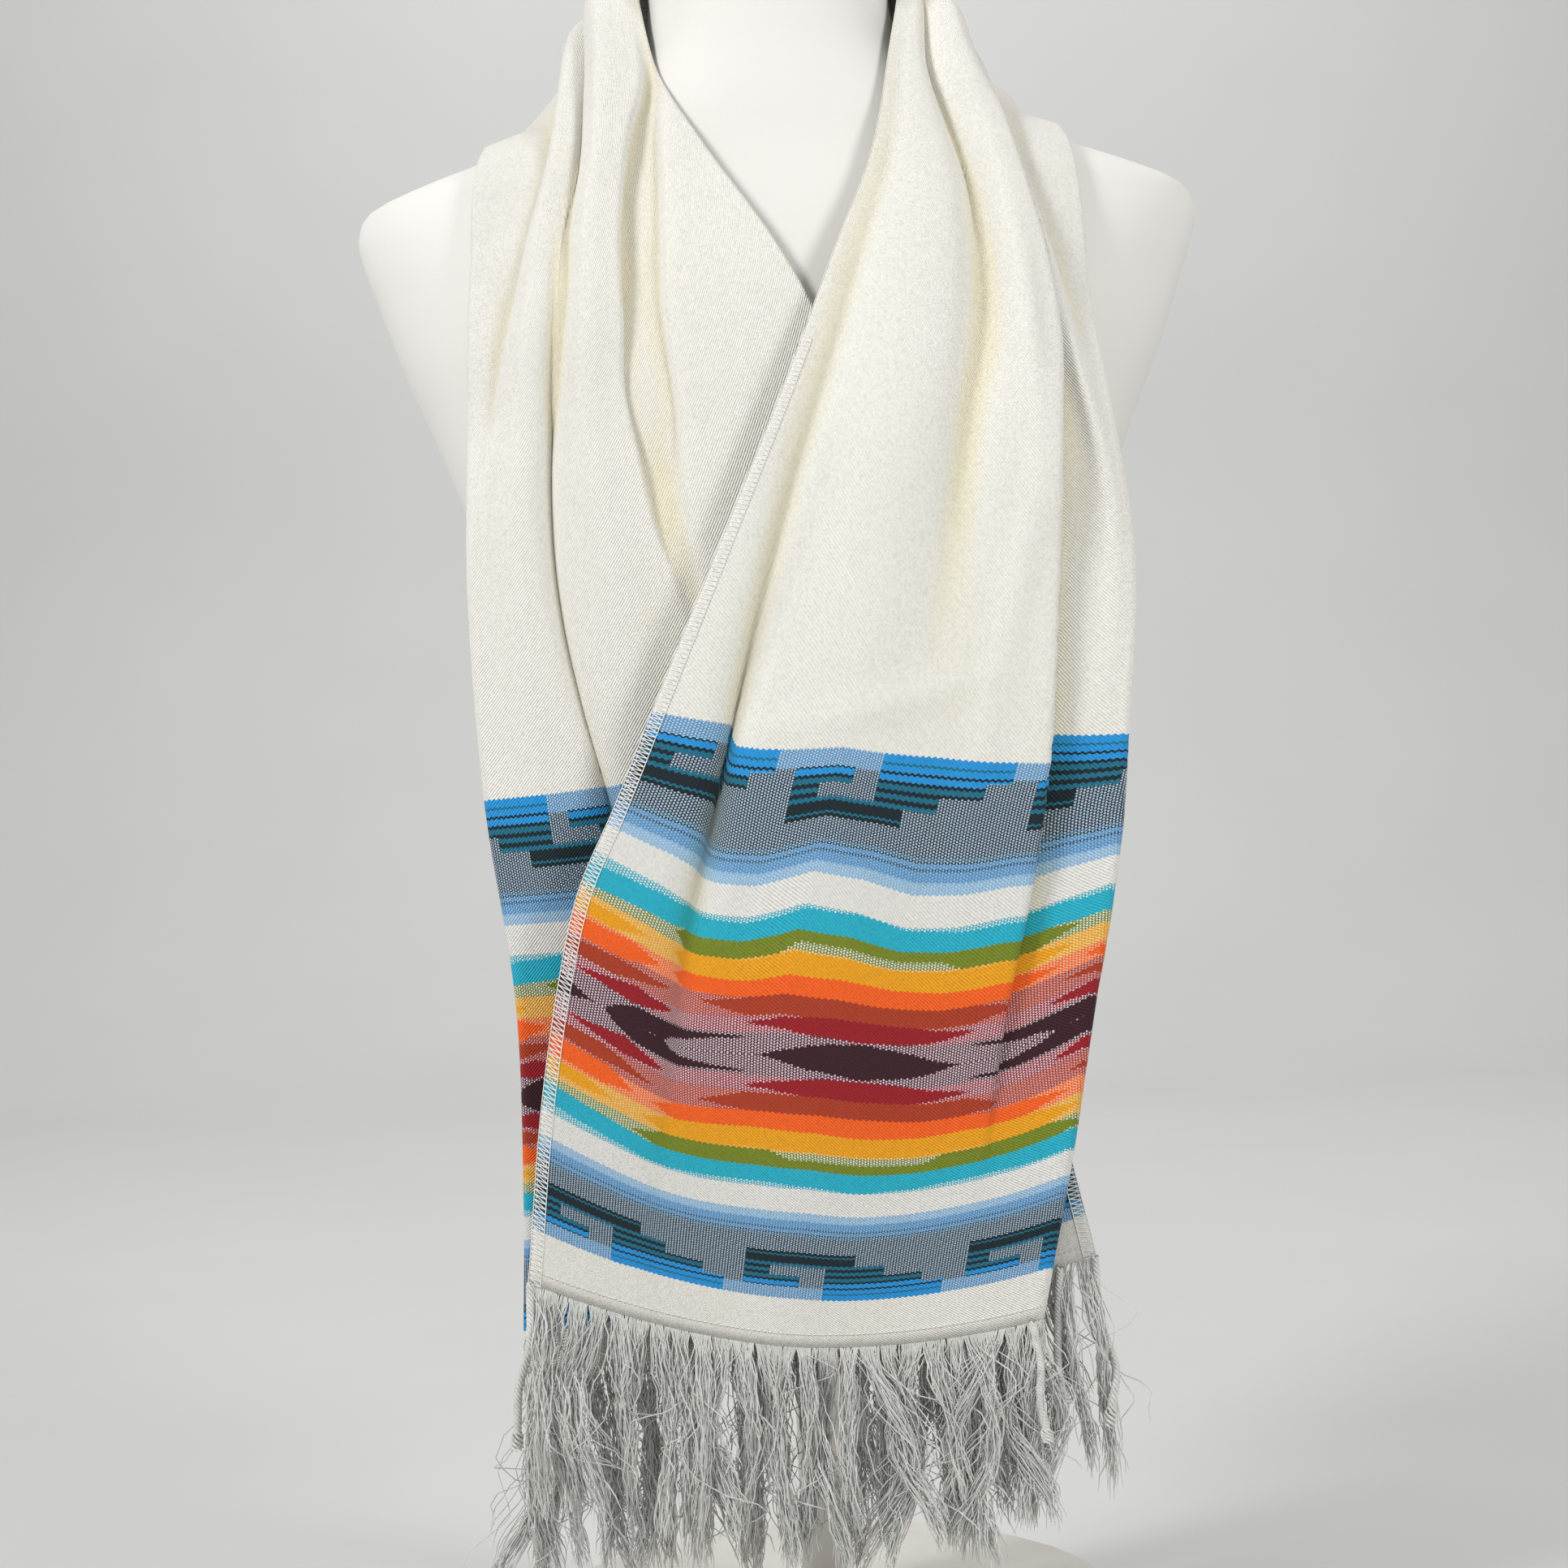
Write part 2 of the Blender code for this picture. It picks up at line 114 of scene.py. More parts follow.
# One row for each fold: which fall it is on, its kind and its width in millimetres, how far
# its sides lean over it, and its line as points of distance from the hem, place across
# the section (0 to 1) and depth in millimetres. A negative depth is a ridge. A deep fold
# also hides some width of the cloth, given as points of distance and millimetres.
Fold = namedtuple("Fold", "fall kind wide over line hides", defaults=(((0, 0), (760, 0)),))
BACK_OF_NECK = 0.760
NECK_STATION = 0.650
FULL_LEAN_DEPTH = 0.008
FOLDS = (
    Fold("right", "groove", 5.5, 5, (
        (0, 0.22, 0), (120, 0.21, 1.5), (190, 0.193, 5), (258, 0.165, 8), (304, 0.143, 6), (376, 0.107, 4),
        (446, 0.093, 3.5), (550, 0.07, 3), (650, 0.06, 3), (760, 0.08, 3)),
        ((60, 2), (120, 14), (180, 22), (254, 32), (340, 26), (500, 8), (650, 0))),
    Fold("right", "groove", 18, 0, (
        (0, 0.5, -2), (256, 0.45, -2), (330, 0.38, -5), (450, 0.32, -5), (550, 0.26, -4), (650, 0.12, -2),
        (760, 0.2, -3))),
    Fold("right", "groove", 4, 4, (
        (500, 0.54, 0), (534, 0.487, 5), (560, 0.4, 9), (600, 0.25, 11), (650, 0.16, 9), (760, 0.28, 8))),
    Fold("right", "groove", 8, 2, (
        (280, 0.55, 0), (340, 0.55, 3), (412, 0.553, 8), (478, 0.57, 10), (534, 0.487, 9), (580, 0.33, 4),
        (620, 0.2, 0), (760, 0.28, 0))),
    Fold("right", "groove", 6, 0, (
        (120, 0.7, 0), (256, 0.7, -1), (330, 0.72, -2), (404, 0.78, -4), (440, 0.743, -6), (498, 0.693, -6),
        (544, 0.61, -6), (606, 0.44, -6), (650, 0.22, -4), (760, 0.4, -4))),
    Fold("right", "step", 2.5, 9, (
        (60, 0.84, 0), (130, 0.83, 4), (224, 0.827, 8), (262, 0.827, 8), (334, 0.803, 8), (420, 0.813, 8),
        (462, 0.827, 8), (502, 0.79, 9), (540, 0.70, 12), (568, 0.63, 13), (606, 0.52, 13), (650, 0.28, 9),
        (760, 0.52, 7)),
        ((40, 0), (120, 6), (180, 17), (254, 33), (400, 26), (550, 12), (650, 0))),
    Fold("right", "groove", 3.5, 0, (
        (256, 0.95, 0), (350, 0.97, -2), (406, 0.957, -4), (446, 0.91, -6), (488, 0.855, -8),
        (524, 0.785, -11), (554, 0.715, -13), (606, 0.60, -13), (654, 0.47, -10), (760, 0.72, -5))),
    Fold("right", "groove", 15, 0, ((530, 0.1, 0), (590, 0.15, -4), (650, 0.2, -9), (760, 0.2, -6))),
    Fold("right", "groove", 13, 0, (
        (590, 0.84, 0), (625, 0.8, -6), (650, 0.74, -9), (700, 0.78, -6), (760, 0.8, 0))),
    Fold("right", "groove", 12, 0, (
        (252, 0.22, 0), (264, 0.34, -1), (275, 0.47, -1.2), (286, 0.6, -0.8), (296, 0.72, 0))),
    Fold("left", "step", 2.5, 3, (
        (360, 1, 0), (400, 0.967, 2), (434, 0.93, 3.5), (476, 0.873, 4), (524, 0.77, 4.5), (564, 0.637, 5),
        (610, 0.5, 5), (650, 0.38, 5), (760, 0.45, 4))),
    Fold("left", "groove", 6, 0, (
        (200, 0.9, 0), (280, 0.9, -2), (352, 0.9, -3), (430, 0.85, -4), (480, 0.78, -5), (524, 0.69, -5),
        (564, 0.56, -5), (610, 0.44, -4), (650, 0.33, -4), (760, 0.38, -4))),
    Fold("left", "groove", 4.5, 5, (
        (140, 0.74, 0), (180, 0.745, 2), (248, 0.763, 7), (292, 0.793, 10), (324, 0.81, 11), (364, 0.813, 11),
        (394, 0.8, 11), (428, 0.767, 12), (480, 0.7, 12), (522, 0.623, 12), (558, 0.5, 12), (600, 0.39, 11),
        (650, 0.28, 9), (760, 0.46, 8))),
    Fold("left", "groove", 8, 0, (
        (250, 0.69, 0), (300, 0.69, -2), (344, 0.69, -4), (394, 0.69, -5), (428, 0.67, -6), (480, 0.59, -7),
        (522, 0.5, -7), (558, 0.38, -7), (600, 0.22, -6), (650, 0.12, -5), (760, 0.56, -4))),
    Fold("left", "step", 2.5, 5, (
        (290, 0.53, 0), (326, 0.54, -2), (356, 0.57, -4), (396, 0.577, -6), (422, 0.575, -6),
        (456, 0.533, -7), (500, 0.46, -7), (530, 0.37, -7), (556, 0.263, -7), (588, 0.09, -6),
        (650, 0.05, -3), (760, 0.3, 0))),
    Fold("left", "step", 4, 2, (
        (290, 0.5, 0), (326, 0.5, 2), (362, 0.495, 4), (402, 0.457, 6), (474, 0.373, 7), (546, 0.167, 7),
        (560, 0.12, 7), (586, 0.017, 6), (650, 0, 3), (760, 0.3, 0))),
    Fold("left", "groove", 16, 0, ((0, 0.20, 4), (256, 0.22, 2), (470, 0.18, 0))),
    Fold("left", "groove", 22, 0, ((0, 0.48, -4), (256, 0.42, -2), (400, 0.42, 0))),
    Fold("left", "groove", 16, 0, (
        (530, 0.4, 0), (580, 0.35, -4), (616, 0.3, -8), (650, 0.22, -14), (760, 0.22, -6))),
)

# How the bands lie on the +X fall, in millimetres: one row for each distance from the hem,
# with how far they dip, and how far they slip to the neck edge, at these places across the section.
WAVE_PLACES = (0, 0.13, 0.165, 0.2, 0.235, 0.3, 0.4, 0.5, 0.6, 0.7, 0.815, 0.84, 0.9, 1)
LEVEL = (0,) * len(WAVE_PLACES)
Wave = namedtuple("Wave", "at drops slips")
WAVES = (
    Wave(0, (-4, -4, -4, -5, -5, -5, -4, -4, -4, -4, -4, -4, -4, -4), LEVEL),
    Wave(60, (-3, 0, 1, 2, 2.5, 2.5, 1, 0.5, 2.5, 3, 3, 3, 3, 2), LEVEL),
    Wave(121, (0, 3, 5, 6.5, 7, 4, 0.5, 0, 2.5, 6.5, 8, 8, 6, 3),
        (0, 0, 1, 2, 3, 4.4, 4.4, 4.4, 4.4, 5, 7, 9, 9, 8)),
    Wave(180, (0, 5, 8, 10, 11, 9, -1, 1, 7.5, 9, 8, 8, 6, 5),
        (0, 0, 0, 2, 4, 6, 8, 9.5, 11, 12, 13, 10, 9, 8)),
    Wave(254, (-1.5, -3, -3.4, 4.6, 4.4, 2.3, -1.3, 0, 0.8, 3, 5, -7.6, -6.3, -4.6),
        (0, 0, 0, 3, 5.5, 7.2, 11.5, 16, 18.5, 20.5, 22, 9, 9, 8)),
    Wave(400, LEVEL, LEVEL),
)

# One row for each section of the form, in millimetres
FormSection = namedtuple("FormSection", "height half_width front back")
FORM_SECTIONS = (
    FormSection(377, 117, 80, 74),
    FormSection(410, 118, 82, 76),
    FormSection(450, 123, 90, 80),
    FormSection(495, 137, 100, 86),
    FormSection(543, 153, 106, 91),
    FormSection(580, 167, 105, 95),
    FormSection(614, 181, 99, 98),
    FormSection(643, 191, 90, 99),
    FormSection(664, 198, 82, 98),
    FormSection(678, 200, 76, 95),
    FormSection(689, 194, 71, 91),
    FormSection(698, 174, 67, 86),
    FormSection(710, 139, 63, 78),
    FormSection(723, 105, 60, 70),
    FormSection(737, 80, 57, 63),
    FormSection(752, 66, 54, 58),
    FormSection(772, 59, 52, 55),
    FormSection(800, 57, 51, 54),
    FormSection(835, 56, 51, 54),
)
FORM_ROUNDNESS = 2.3
FORM_SIDES = 128
FORM_RINGS = 110
# The form's edges look sharp from this angle on, in degrees
FORM_SHARP_FROM = 50

# The woven bands, in millimetres. The chart gives heights from the middle of the bands,
# which lies this far from the hem, and widths from the middle of the cloth.
BAND_MIDDLE = 121.5
HALF_WIDTH = CLOTH_WIDTH / MM / 2
BAND_TOP = 132.5
HOOK_PITCH = 95
HOOK_START = 1.5
THREAD = 1.2
CHART_HEIGHT = 70

# Dots show where the product of two waves is over this, and rows of threads wave this far
DOT_CUT = 0.12
ROW_WAVE = 0.35
# The lower half of each end is woven taller: by this factor, and by this much more per millimetre
LOWER_STRETCH = 1.10
LOWER_STRETCH_GAIN = 0.0018

# The surface of the cloth: its twill and slubs, and the painted yellowish shade in its hollows
TWILL_PITCH = 1.3 * THREAD
TWILL_RELIEF = 0.5
UNEVEN_RELIEF = 1.2
SLUB_RANGE = (0.42, 0.72)
SLUB_SHADE = 0.26
# How strongly the painted shade darkens the deepest folds
PAINTED_SHADE_IN_FOLDS = 0.7
NOISE_ROUGHNESS = 0.55

# The overlock stitches. Over the shoulders the selvedge at the neck is tucked out of sight, so
# its stitches show at the back only, between these parts of the cloth's length.
STITCH_PITCH = 0.0021
STITCH_RADIUS = 0.00027
STITCH_COLUMNS = 3
STITCH_PAST_EDGE = 0.06
STITCH_SUNK = 0.6
STITCH_AT_RIM = 0.5
TUCKED_FROM = 0.285
TUCKED_TO = 0.86

# The running stitches above each hem
HEM_STITCH_HEIGHT = 0.0055
HEM_STITCHES = 116
HEM_STITCH_SHARE = 0.72
HEM_STITCH_RADIUS = 0.0003
HEM_STITCH_LIFT = 0.0002

# A direction that no thread runs in, to set the sides of the threads by
THREAD_SIDE = (0.31, 0.87, 0.38)

# The fringe: fine yarns in loose locks
LOCKS = 30
LOCK_JITTER = 0.35
YARNS_PER_LOCK = 46
YARN_STEPS = 17
YARN_RADII = (0.00022, 0.00036)
FRINGE_LENGTH = 0.100
LOCK_LENGTHS = (0.86, 1.06)
YARN_LENGTHS = (0.84, 1.05)
SHORT_YARNS = 0.1
SHORT_YARN_LENGTH = 0.7
STRAY_YARNS = 0.07
STRAY_LOOP = 0.012
STRAY_LOOP_WAVES = 5
LOCK_WAVES = 2
LOCK_DEPTH_WAVES = 3
YARN_WAVES = 4
LOCK_WANDER = 0.0070
LOCK_LEAN = 0.0035
LOCK_DEPTH = 0.0045
YARN_WANDER = 0.0020
YARN_DEPTH = 0.0018
STRAY_WANDER = 0.0095
STRAY_DEPTH = 0.0040
CRIMP = 0.0006
CRIMP_WAVES = (24, 44)
CRIMP_PHASES = (0, 6)
# How the yarns of a lock draw together, and open again lower down
GATHER = 0.88
GATHER_RATE = 2.6
GATHER_POWER = 0.8
GATHER_RISE = 0.6
OPEN_AGAIN = 0.42
OPEN_FROM = 0.45

# The twisted tails at the corners. Each has its place along the hem (0 at the neck edge and 1 at
# the outer edge), how far it drifts and its length.
TAIL_YARNS = 5
TAIL_STEPS = 44
TAIL_TURNS = 7
TAIL_RADIUS = 0.0013
TAIL_YARN_RADIUS = 0.0008
TAIL_WANDER = 0.0020
TAIL_WAVES = 3
TAIL_KNOT_FROM = 0.9
TAIL_KNOT_SPREAD = 1.8
RIGHT_TAILS = ((0.002, (-0.006, -0.004), 0.072), (0.81, (0.006, -0.004), 0.052))
LEFT_TAILS = ((0.002, (0.004, -0.002), 0.075), (0.06, (-0.003, -0.005), 0.060))

# The floor and the curve that takes it up into the backdrop
FLOOR_HALF_WIDTH = 4.0
FLOOR_FRONT = -3.0
CURVE_FROM = 2.2
CURVE_RADIUS = 1.0
CURVE_STEPS = 14
CURVE_START = 0.1
BACKDROP_TOP = 4.0

# The lamps, with their sizes in metres and their powers in watts
Lamp = namedtuple("Lamp", "name place aim size power")
LAMPS = (
    Lamp("left_light", (-1.25, -1.05, 1.55), (0, 0, 0.55), 0.5, 23),
    Lamp("right_light", (1.25, -1.1, 1.35), (0, 0, 0.55), 0.5, 14),
    Lamp("backdrop_light", (0, 1.3, 2.6), (0, 2.9, 0.6), 2.0, 34),
)
WORLD_LIGHT = 0.42

# The photo's view: the lens and the sensor in millimetres, the camera's place, its roll in degrees
LENS = 62.1
SENSOR_WIDTH = 36
CAMERA_PLACE = (-0.0067, -1.3, 0.41)
CAMERA_ROLL = 2.2


def smooth_curve(knots, values, at):
    """Reads a smooth curve through the table's values at the places asked for."""
    knots = np.asarray(knots, float)
    values = np.asarray(values, float)
    at = np.asarray(at, float)
    slopes = np.gradient(values, knots)
    low = np.clip(np.searchsorted(knots, at, side="right") - 1, 0, len(knots) - 2)
    span = knots[low + 1] - knots[low]
    part = np.clip((at - knots[low]) / span, 0, 1)
    rise = values[low] * (2 * part**3 - 3 * part**2 + 1) + values[low + 1] * (3 * part**2 - 2 * part**3)
    lean = slopes[low] * (part**3 - 2 * part**2 + part) + slopes[low + 1] * (part**3 - part**2)
    return rise + lean * span


def section_column(name, along):
    """A column of the section table at distances along the cloth, in metres."""
    knots = [row.at for row in SECTIONS]
    return smooth_curve(knots, [getattr(row, name) for row in SECTIONS], along / MM) * MM


def section_ends(along):
    """The neck edge and the outer edge at distances along the cloth."""
    neck_edge = np.stack([section_column(name, along) for name in ("ax", "ay", "az")], axis=-1)
    outer_edge = np.stack([section_column(name, along) for name in ("bx", "by", "bz")], axis=-1)
    return neck_edge, outer_edge


def edge_radius(along):
    """Radius of the turned edge: round where the falls hang, pressed flatter over the shoulders."""
    from_hem = np.minimum(along, CLOTH_LENGTH - along)
    pressed = np.clip((from_hem - PRESSED_FROM) / PRESSED_EASE, 0, 1)
    return EDGE_RADIUS + (PRESSED_RADIUS - EDGE_RADIUS) * pressed * pressed * (3 - 2 * pressed)


def unit(vectors):
    """The same directions, each of length 1."""
    return vectors / np.maximum(np.linalg.norm(vectors, axis=-1, keepdims=True), 1e-12)


def fold_values(along, across, chord):
    """Lift of the cloth by its folds, positive outwards, and how far they lean it to the outer edge."""
    from_hem = {"right": along, "left": CLOTH_LENGTH - along}
    back = np.clip((along - NECK_STATION) / (CLOTH_LENGTH - 2 * NECK_STATION), 0, 1)
    back = back * back * (3 - 2 * back)
    share = {"right": 1 - back, "left": back}
    lift = np.zeros(np.broadcast(along, across).shape)
    lean = np.zeros_like(lift)
    for fold in FOLDS:
        distance = np.minimum(from_hem[fold.fall], BACK_OF_NECK) / MM
        stations, places, depths = zip(*fold.line)
        place = smooth_curve(stations, places, distance)
        depth = smooth_curve(stations, depths, distance) * MM * share[fold.fall]
        offset = (across - place) * chord / (fold.wide * MM)
        full = fold.over * MM * share[fold.fall] * np.clip(np.abs(depth) / FULL_LEAN_DEPTH, 0, 1)
        if fold.kind == "step":
            lift = lift - depth / (1 + np.exp(-STEP_SHARPNESS * offset))
            lean = lean - full * offset * np.exp(-offset * offset / 2)
        else:
            shape = np.exp(-offset * offset / 2)
            lift = lift - depth * shape
            lean = lean - full * offset * shape
    return lift, lean


def hidden_cloth(along, across, chord):
    """Width of cloth, in millimetres, that lies hidden in the folds before each place of a section."""
    from_hem = {"right": along, "left": CLOTH_LENGTH - along}
    hidden = np.zeros(np.broadcast(along, across).shape)
    for fold in FOLDS:
        distance = np.minimum(from_hem[fold.fall], BACK_OF_NECK) / MM
        stations, places, _ = zip(*fold.line)
        place = smooth_curve(stations, places, distance)
        stations, widths = zip(*fold.hides)
        width = np.maximum(smooth_curve(stations, widths, distance), 0) * (distance < stations[-1])
        hidden += width / (1 + np.exp(-HIDING_SHARPNESS * (across - place) * chord / (fold.wide * MM)))
    return hidden


def band_wave(name, along, across):
    """How far the woven bands dip or slip off their smooth course, in millimetres, on the +X fall."""
    heights = [row.at for row in WAVES]
    values = np.array([getattr(row, name) for row in WAVES], float)
    table = np.stack([smooth_curve(heights, column, along[:, 0] / MM) for column in values.T], axis=-1)
    wave = np.stack([np.interp(part, WAVE_PLACES, row) for row, part in zip(table, across)])
    return wave * (along < WAVES[-1].at * MM)


def form_sizes(height):
    """Half width, front and back of the form at heights in metres."""
    knots = [row.height for row in FORM_SECTIONS]
    inside = np.clip(height / MM, knots[0], knots[-1])
    return [
        smooth_curve(knots, [getattr(row, name) for row in FORM_SECTIONS], inside) * MM
        for name in ("half_width", "front", "back")
    ]


def form_radius(points):
    """1 on the form's surface, less inside it and more outside, by the form's size at each height."""
    wide, front, back = form_sizes(points[..., 2])
    deep = np.where(points[..., 1] < 0, front, back)
    x = np.abs(points[..., 0]) / wide
    y = np.abs(points[..., 1]) / deep
    return (x**FORM_ROUNDNESS + y**FORM_ROUNDNESS) ** (1 / FORM_ROUNDNESS)


def clear_of_form(points, room):
    """Moves points straight off the form's surface until they have room to it."""
    points = points.copy()
    for _ in range(ROOM_STEPS):
        here = form_radius(points)
        ahead = [form_radius(points + SMALL_STEP * axis) for axis in np.eye(3)]
        slope = np.stack([(there - here) / SMALL_STEP for there in ahead], axis=-1)
        steep = np.maximum(np.linalg.norm(slope, axis=-1), 1e-6)
        short = room - (here - 1) / steep
        push = np.clip(short, 0, LARGEST_PUSH)
        points += slope / steep[..., None] * push[..., None]
    return points


def cloth_points(along, width_part):
    """The middle of the cloth's wall, for a row of width parts at each distance along it."""
    along = np.asarray(along, float)[:, None]
    width_part = np.broadcast_to(width_part, (len(along), np.shape(width_part)[-1]))
    neck_edge, outer_edge = section_ends(along)
    ahead = sum(section_ends(along + SHORT_WAY))
    behind = sum(section_ends(along - SHORT_WAY))
    across = outer_edge - neck_edge
    chord = np.linalg.norm(across, axis=-1)
    sideways = unit(across)
    outwards = unit(np.cross(across, ahead - behind))
    front_width = CLOTH_WIDTH - section_column("turned", along)
    part = np.clip(width_part * CLOTH_WIDTH / front_width, 0, 1)
    arch = np.sin(math.pi * part)
    folds, lean = fold_values(along, part, chord)
    lift = section_column("bow", along) * arch + folds
    sag = section_column("sag", along) * np.maximum(arch, 0) ** SAG_POWER
    behind_edge = np.maximum(width_part * CLOTH_WIDTH - front_width, 0)
    radius = edge_radius(along)
    turn = np.minimum(behind_edge / radius, math.pi)
    slide = radius * np.sin(turn) - np.maximum(behind_edge - math.pi * radius, 0)
    lift = lift - radius * (1 - np.cos(turn))
    slide = slide + lean * np.minimum(1, LEAN_FROM_EDGES * part * (1 - part))
    points = neck_edge + part[..., None] * across
    points = points + slide[..., None] * sideways + lift[..., None] * outwards
    points[..., 2] -= sag
    over_the_edge = np.clip((part - TURNED_FROM) / TURNED_EASE, 0, 1) * (1 + np.cos(turn)) / 2
    room = ROOM_FOR_FORM + CLOTH_WALL / 2 + over_the_edge * (2 * radius + CLOTH_WALL)
    return clear_of_form(points, room)


def sheet_points(along, columns):
    """Points at even steps of cloth across each section, and their places across and along the cloth."""
    parts = np.linspace(0, 1, TRACE_COLUMNS)
    traced = cloth_points(along, parts)
    steps = np.linalg.norm(np.diff(traced, axis=1), axis=-1)
    points = np.empty((len(along), columns, 3))
    at_part = np.empty((len(along), columns))
    wanted = np.linspace(0, 1, columns)
    for row, lengths in enumerate(steps):
        so_far = np.concatenate([[0], np.cumsum(lengths)])
        at_part[row] = np.interp(wanted, so_far / so_far[-1], parts)
        for axis in range(3):
            points[row, :, axis] = np.interp(wanted, so_far / so_far[-1], traced[row, :, axis])
    along = np.asarray(along)[:, None]
    neck_edge, outer_edge = section_ends(along)
    chord = np.linalg.norm(outer_edge - neck_edge, axis=-1)
    front = np.clip(at_part * CLOTH_WIDTH / (CLOTH_WIDTH - section_column("turned", along)), 0, 1)
    hidden = hidden_cloth(along, front, chord)
    place = wanted * (CLOTH_WIDTH / MM - hidden[:, -1:]) + hidden + band_wave("slips", along, front)
    return points, place, along + band_wave("drops", along, front) * MM


def sheet_normals(points):
    """Outward directions of a grid of points that runs along the cloth and across it."""
    return unit(np.cross(np.gradient(points, axis=1), np.gradient(points, axis=0)))


def hollows(points):
    """1 in the deep folds of a sheet and 0 on its ridges and flat stretches: where the folds get their
    painted shade.
    """
    ends = np.pad(points, ((0, 0), (HOLLOW_REACH, HOLLOW_REACH), (0, 0)), mode="edge")
    around = (ends[:, : -2 * HOLLOW_REACH] + ends[:, 2 * HOLLOW_REACH :]) / 2
    depth = np.sum((around - points) * sheet_normals(points), axis=-1)
    return np.clip(depth / HOLLOW_DEPTH, 0, 1)


def add_mesh(name, points, faces, surface, slot_name):
    """A visible piece of the scene that rides on the part's one body."""
    mesh = bpy.data.meshes.new(name)
    mesh.from_pydata(np.asarray(points).reshape(-1, 3).tolist(), [], faces)
    mesh.validate()
    mesh.shade_smooth()
    mesh.materials.append(surface)
    made = bpy.data.objects.new(name, mesh)
    bpy.context.scene.collection.objects.link(made)
    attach(made, "root")
    return made


def grid_faces(rows, columns, closed=False):
    """Quads of a grid, which may close on itself across its columns."""
    faces = []
    for row in range(rows - 1):
        for column in range(columns if closed else columns - 1):
            here = row * columns + column
            beside = row * columns + (column + 1) % columns
            faces.append((here, beside, beside + columns, here + columns))
    return faces


def set_values(mesh, name, values):
    """Keeps one number at each point of a mesh for its material to read."""
    attribute = mesh.attributes.new(name, "FLOAT", "POINT")
    attribute.data.foreach_set("value", np.asarray(values, np.float32).ravel())


def chart_height(along):
    """Height on the chart of the bands, in millimetres, at distances along the cloth in metres."""
    from_hem = np.minimum(along, CLOTH_LENGTH - along) / MM
    height = from_hem - BAND_MIDDLE
    below = np.abs(height) * (LOWER_STRETCH + LOWER_STRETCH_GAIN * np.abs(height))
    return np.where(height >= 0, height, -below)


class Number:
    """A number inside a shader. Sums, products and comparisons of such numbers become Math nodes."""

    def __init__(self, tree, socket):
        self.tree = tree
        self.socket = socket

    def math(self, operation, *others):
        node = self.tree.nodes.new("ShaderNodeMath")
        node.operation = operation
        for slot, value in enumerate((self, *others)):
            if isinstance(value, Number):
                self.tree.links.new(value.socket, node.inputs[slot])
            else:
                node.inputs[slot].default_value = value
        return Number(self.tree, node.outputs[0])

    def __add__(self, other):
        return self.math("ADD", other)

    def __sub__(self, other):
        return self.math("SUBTRACT", other)

    def __mul__(self, other):
        return self.math("MULTIPLY", other)

    def __truediv__(self, other):
        return self.math("DIVIDE", other)

    def __lt__(self, other):
        return self.math("LESS_THAN", other)

    def __gt__(self, other):
        return self.math("GREATER_THAN", other)

    def __abs__(self):
        return self.math("ABSOLUTE")

    def __neg__(self):
        return self.math("MULTIPLY", -1)

    def floor(self):
        return self.math("FLOOR")

    def sin(self):
        return self.math("SINE")

    def repeat(self, length):
        return self.math("FLOORED_MODULO", length)

    def most(self, other):
        return self.math("MAXIMUM", other)

    def between(self, low, high):
        return (self > low) * (self < high)

    def between_values(self, low, high):
        """0 at the low value and below, 1 at the high value and above, and even in between."""
        node = self.tree.nodes.new("ShaderNodeMapRange")
        self.tree.links.new(self.socket, node.inputs["Value"])
        node.inputs["From Min"].default_value = low
        node.inputs["From Max"].default_value = high
        return Number(self.tree, node.outputs["Result"])

    def curve(self, points, wide, high):
        """A value read from a given line of points, with straight stretches between them."""
        node = self.tree.nodes.new("ShaderNodeFloatCurve")
        line = node.mapping.curves[0]
        while len(line.points) < len(points):
            line.points.new(0.5, 0.5)
        for made, (x, y) in zip(line.points, points):
            made.location = (x / wide, y / high)
            made.handle_type = "VECTOR"
        node.mapping.update()
        self.tree.links.new((self / wide).socket, node.inputs["Value"])
        return Number(self.tree, node.outputs[0]) * high

    def ramp(self, stops, end):
        """Colours in flat steps: each starts at its place and lasts to the next."""
        node = self.tree.nodes.new("ShaderNodeValToRGB")
        node.color_ramp.interpolation = "CONSTANT"
        elements = node.color_ramp.elements
        while len(elements) < len(stops):
            elements.new(1)
        for element, (place, colour) in zip(elements, stops):
            element.position = place / end
            element.color = (*colour, 1)
        self.tree.links.new((self / end).socket, node.inputs[0])
        return node.outputs[0]


def linear(red, green, blue):
    """A colour given as it is seen, from 0 to 255, as the shader wants it."""
    seen = [value / 255 for value in (red, green, blue)]
    return tuple(part / 12.92 if part < 0.0404 else ((part + 0.055) / 1.055) ** 2.4 for part in seen)


CREAM = linear(243, 241, 233)
WHITE = linear(236, 235, 230)
PALE = linear(188, 206, 220)
AZURE = linear(30, 152, 226)
BLUE = linear(88, 148, 200)
SLATE = linear(60, 104, 132)
PALE_SKY = linear(186, 212, 232)
TEAL = linear(14, 111, 140)
INK = linear(4, 30, 38)
NIGHT = linear(18, 48, 66)
SKY = linear(148, 190, 225)
TURQUOISE = linear(31, 181, 207)
OLIVE = linear(122, 138, 26)
YELLOW = linear(245, 167, 10)
ORANGE = linear(255, 100, 18)
RUST = linear(178, 58, 25)
CRIMSON = linear(158, 11, 27)
MAROON = linear(54, 10, 25)
PLUM = linear(84, 16, 40)
LILAC = linear(226, 214, 222)
PINK = linear(225, 170, 170)
PALE_ORANGE = linear(247, 196, 160)
PALE_YELLOW = linear(244, 214, 150)

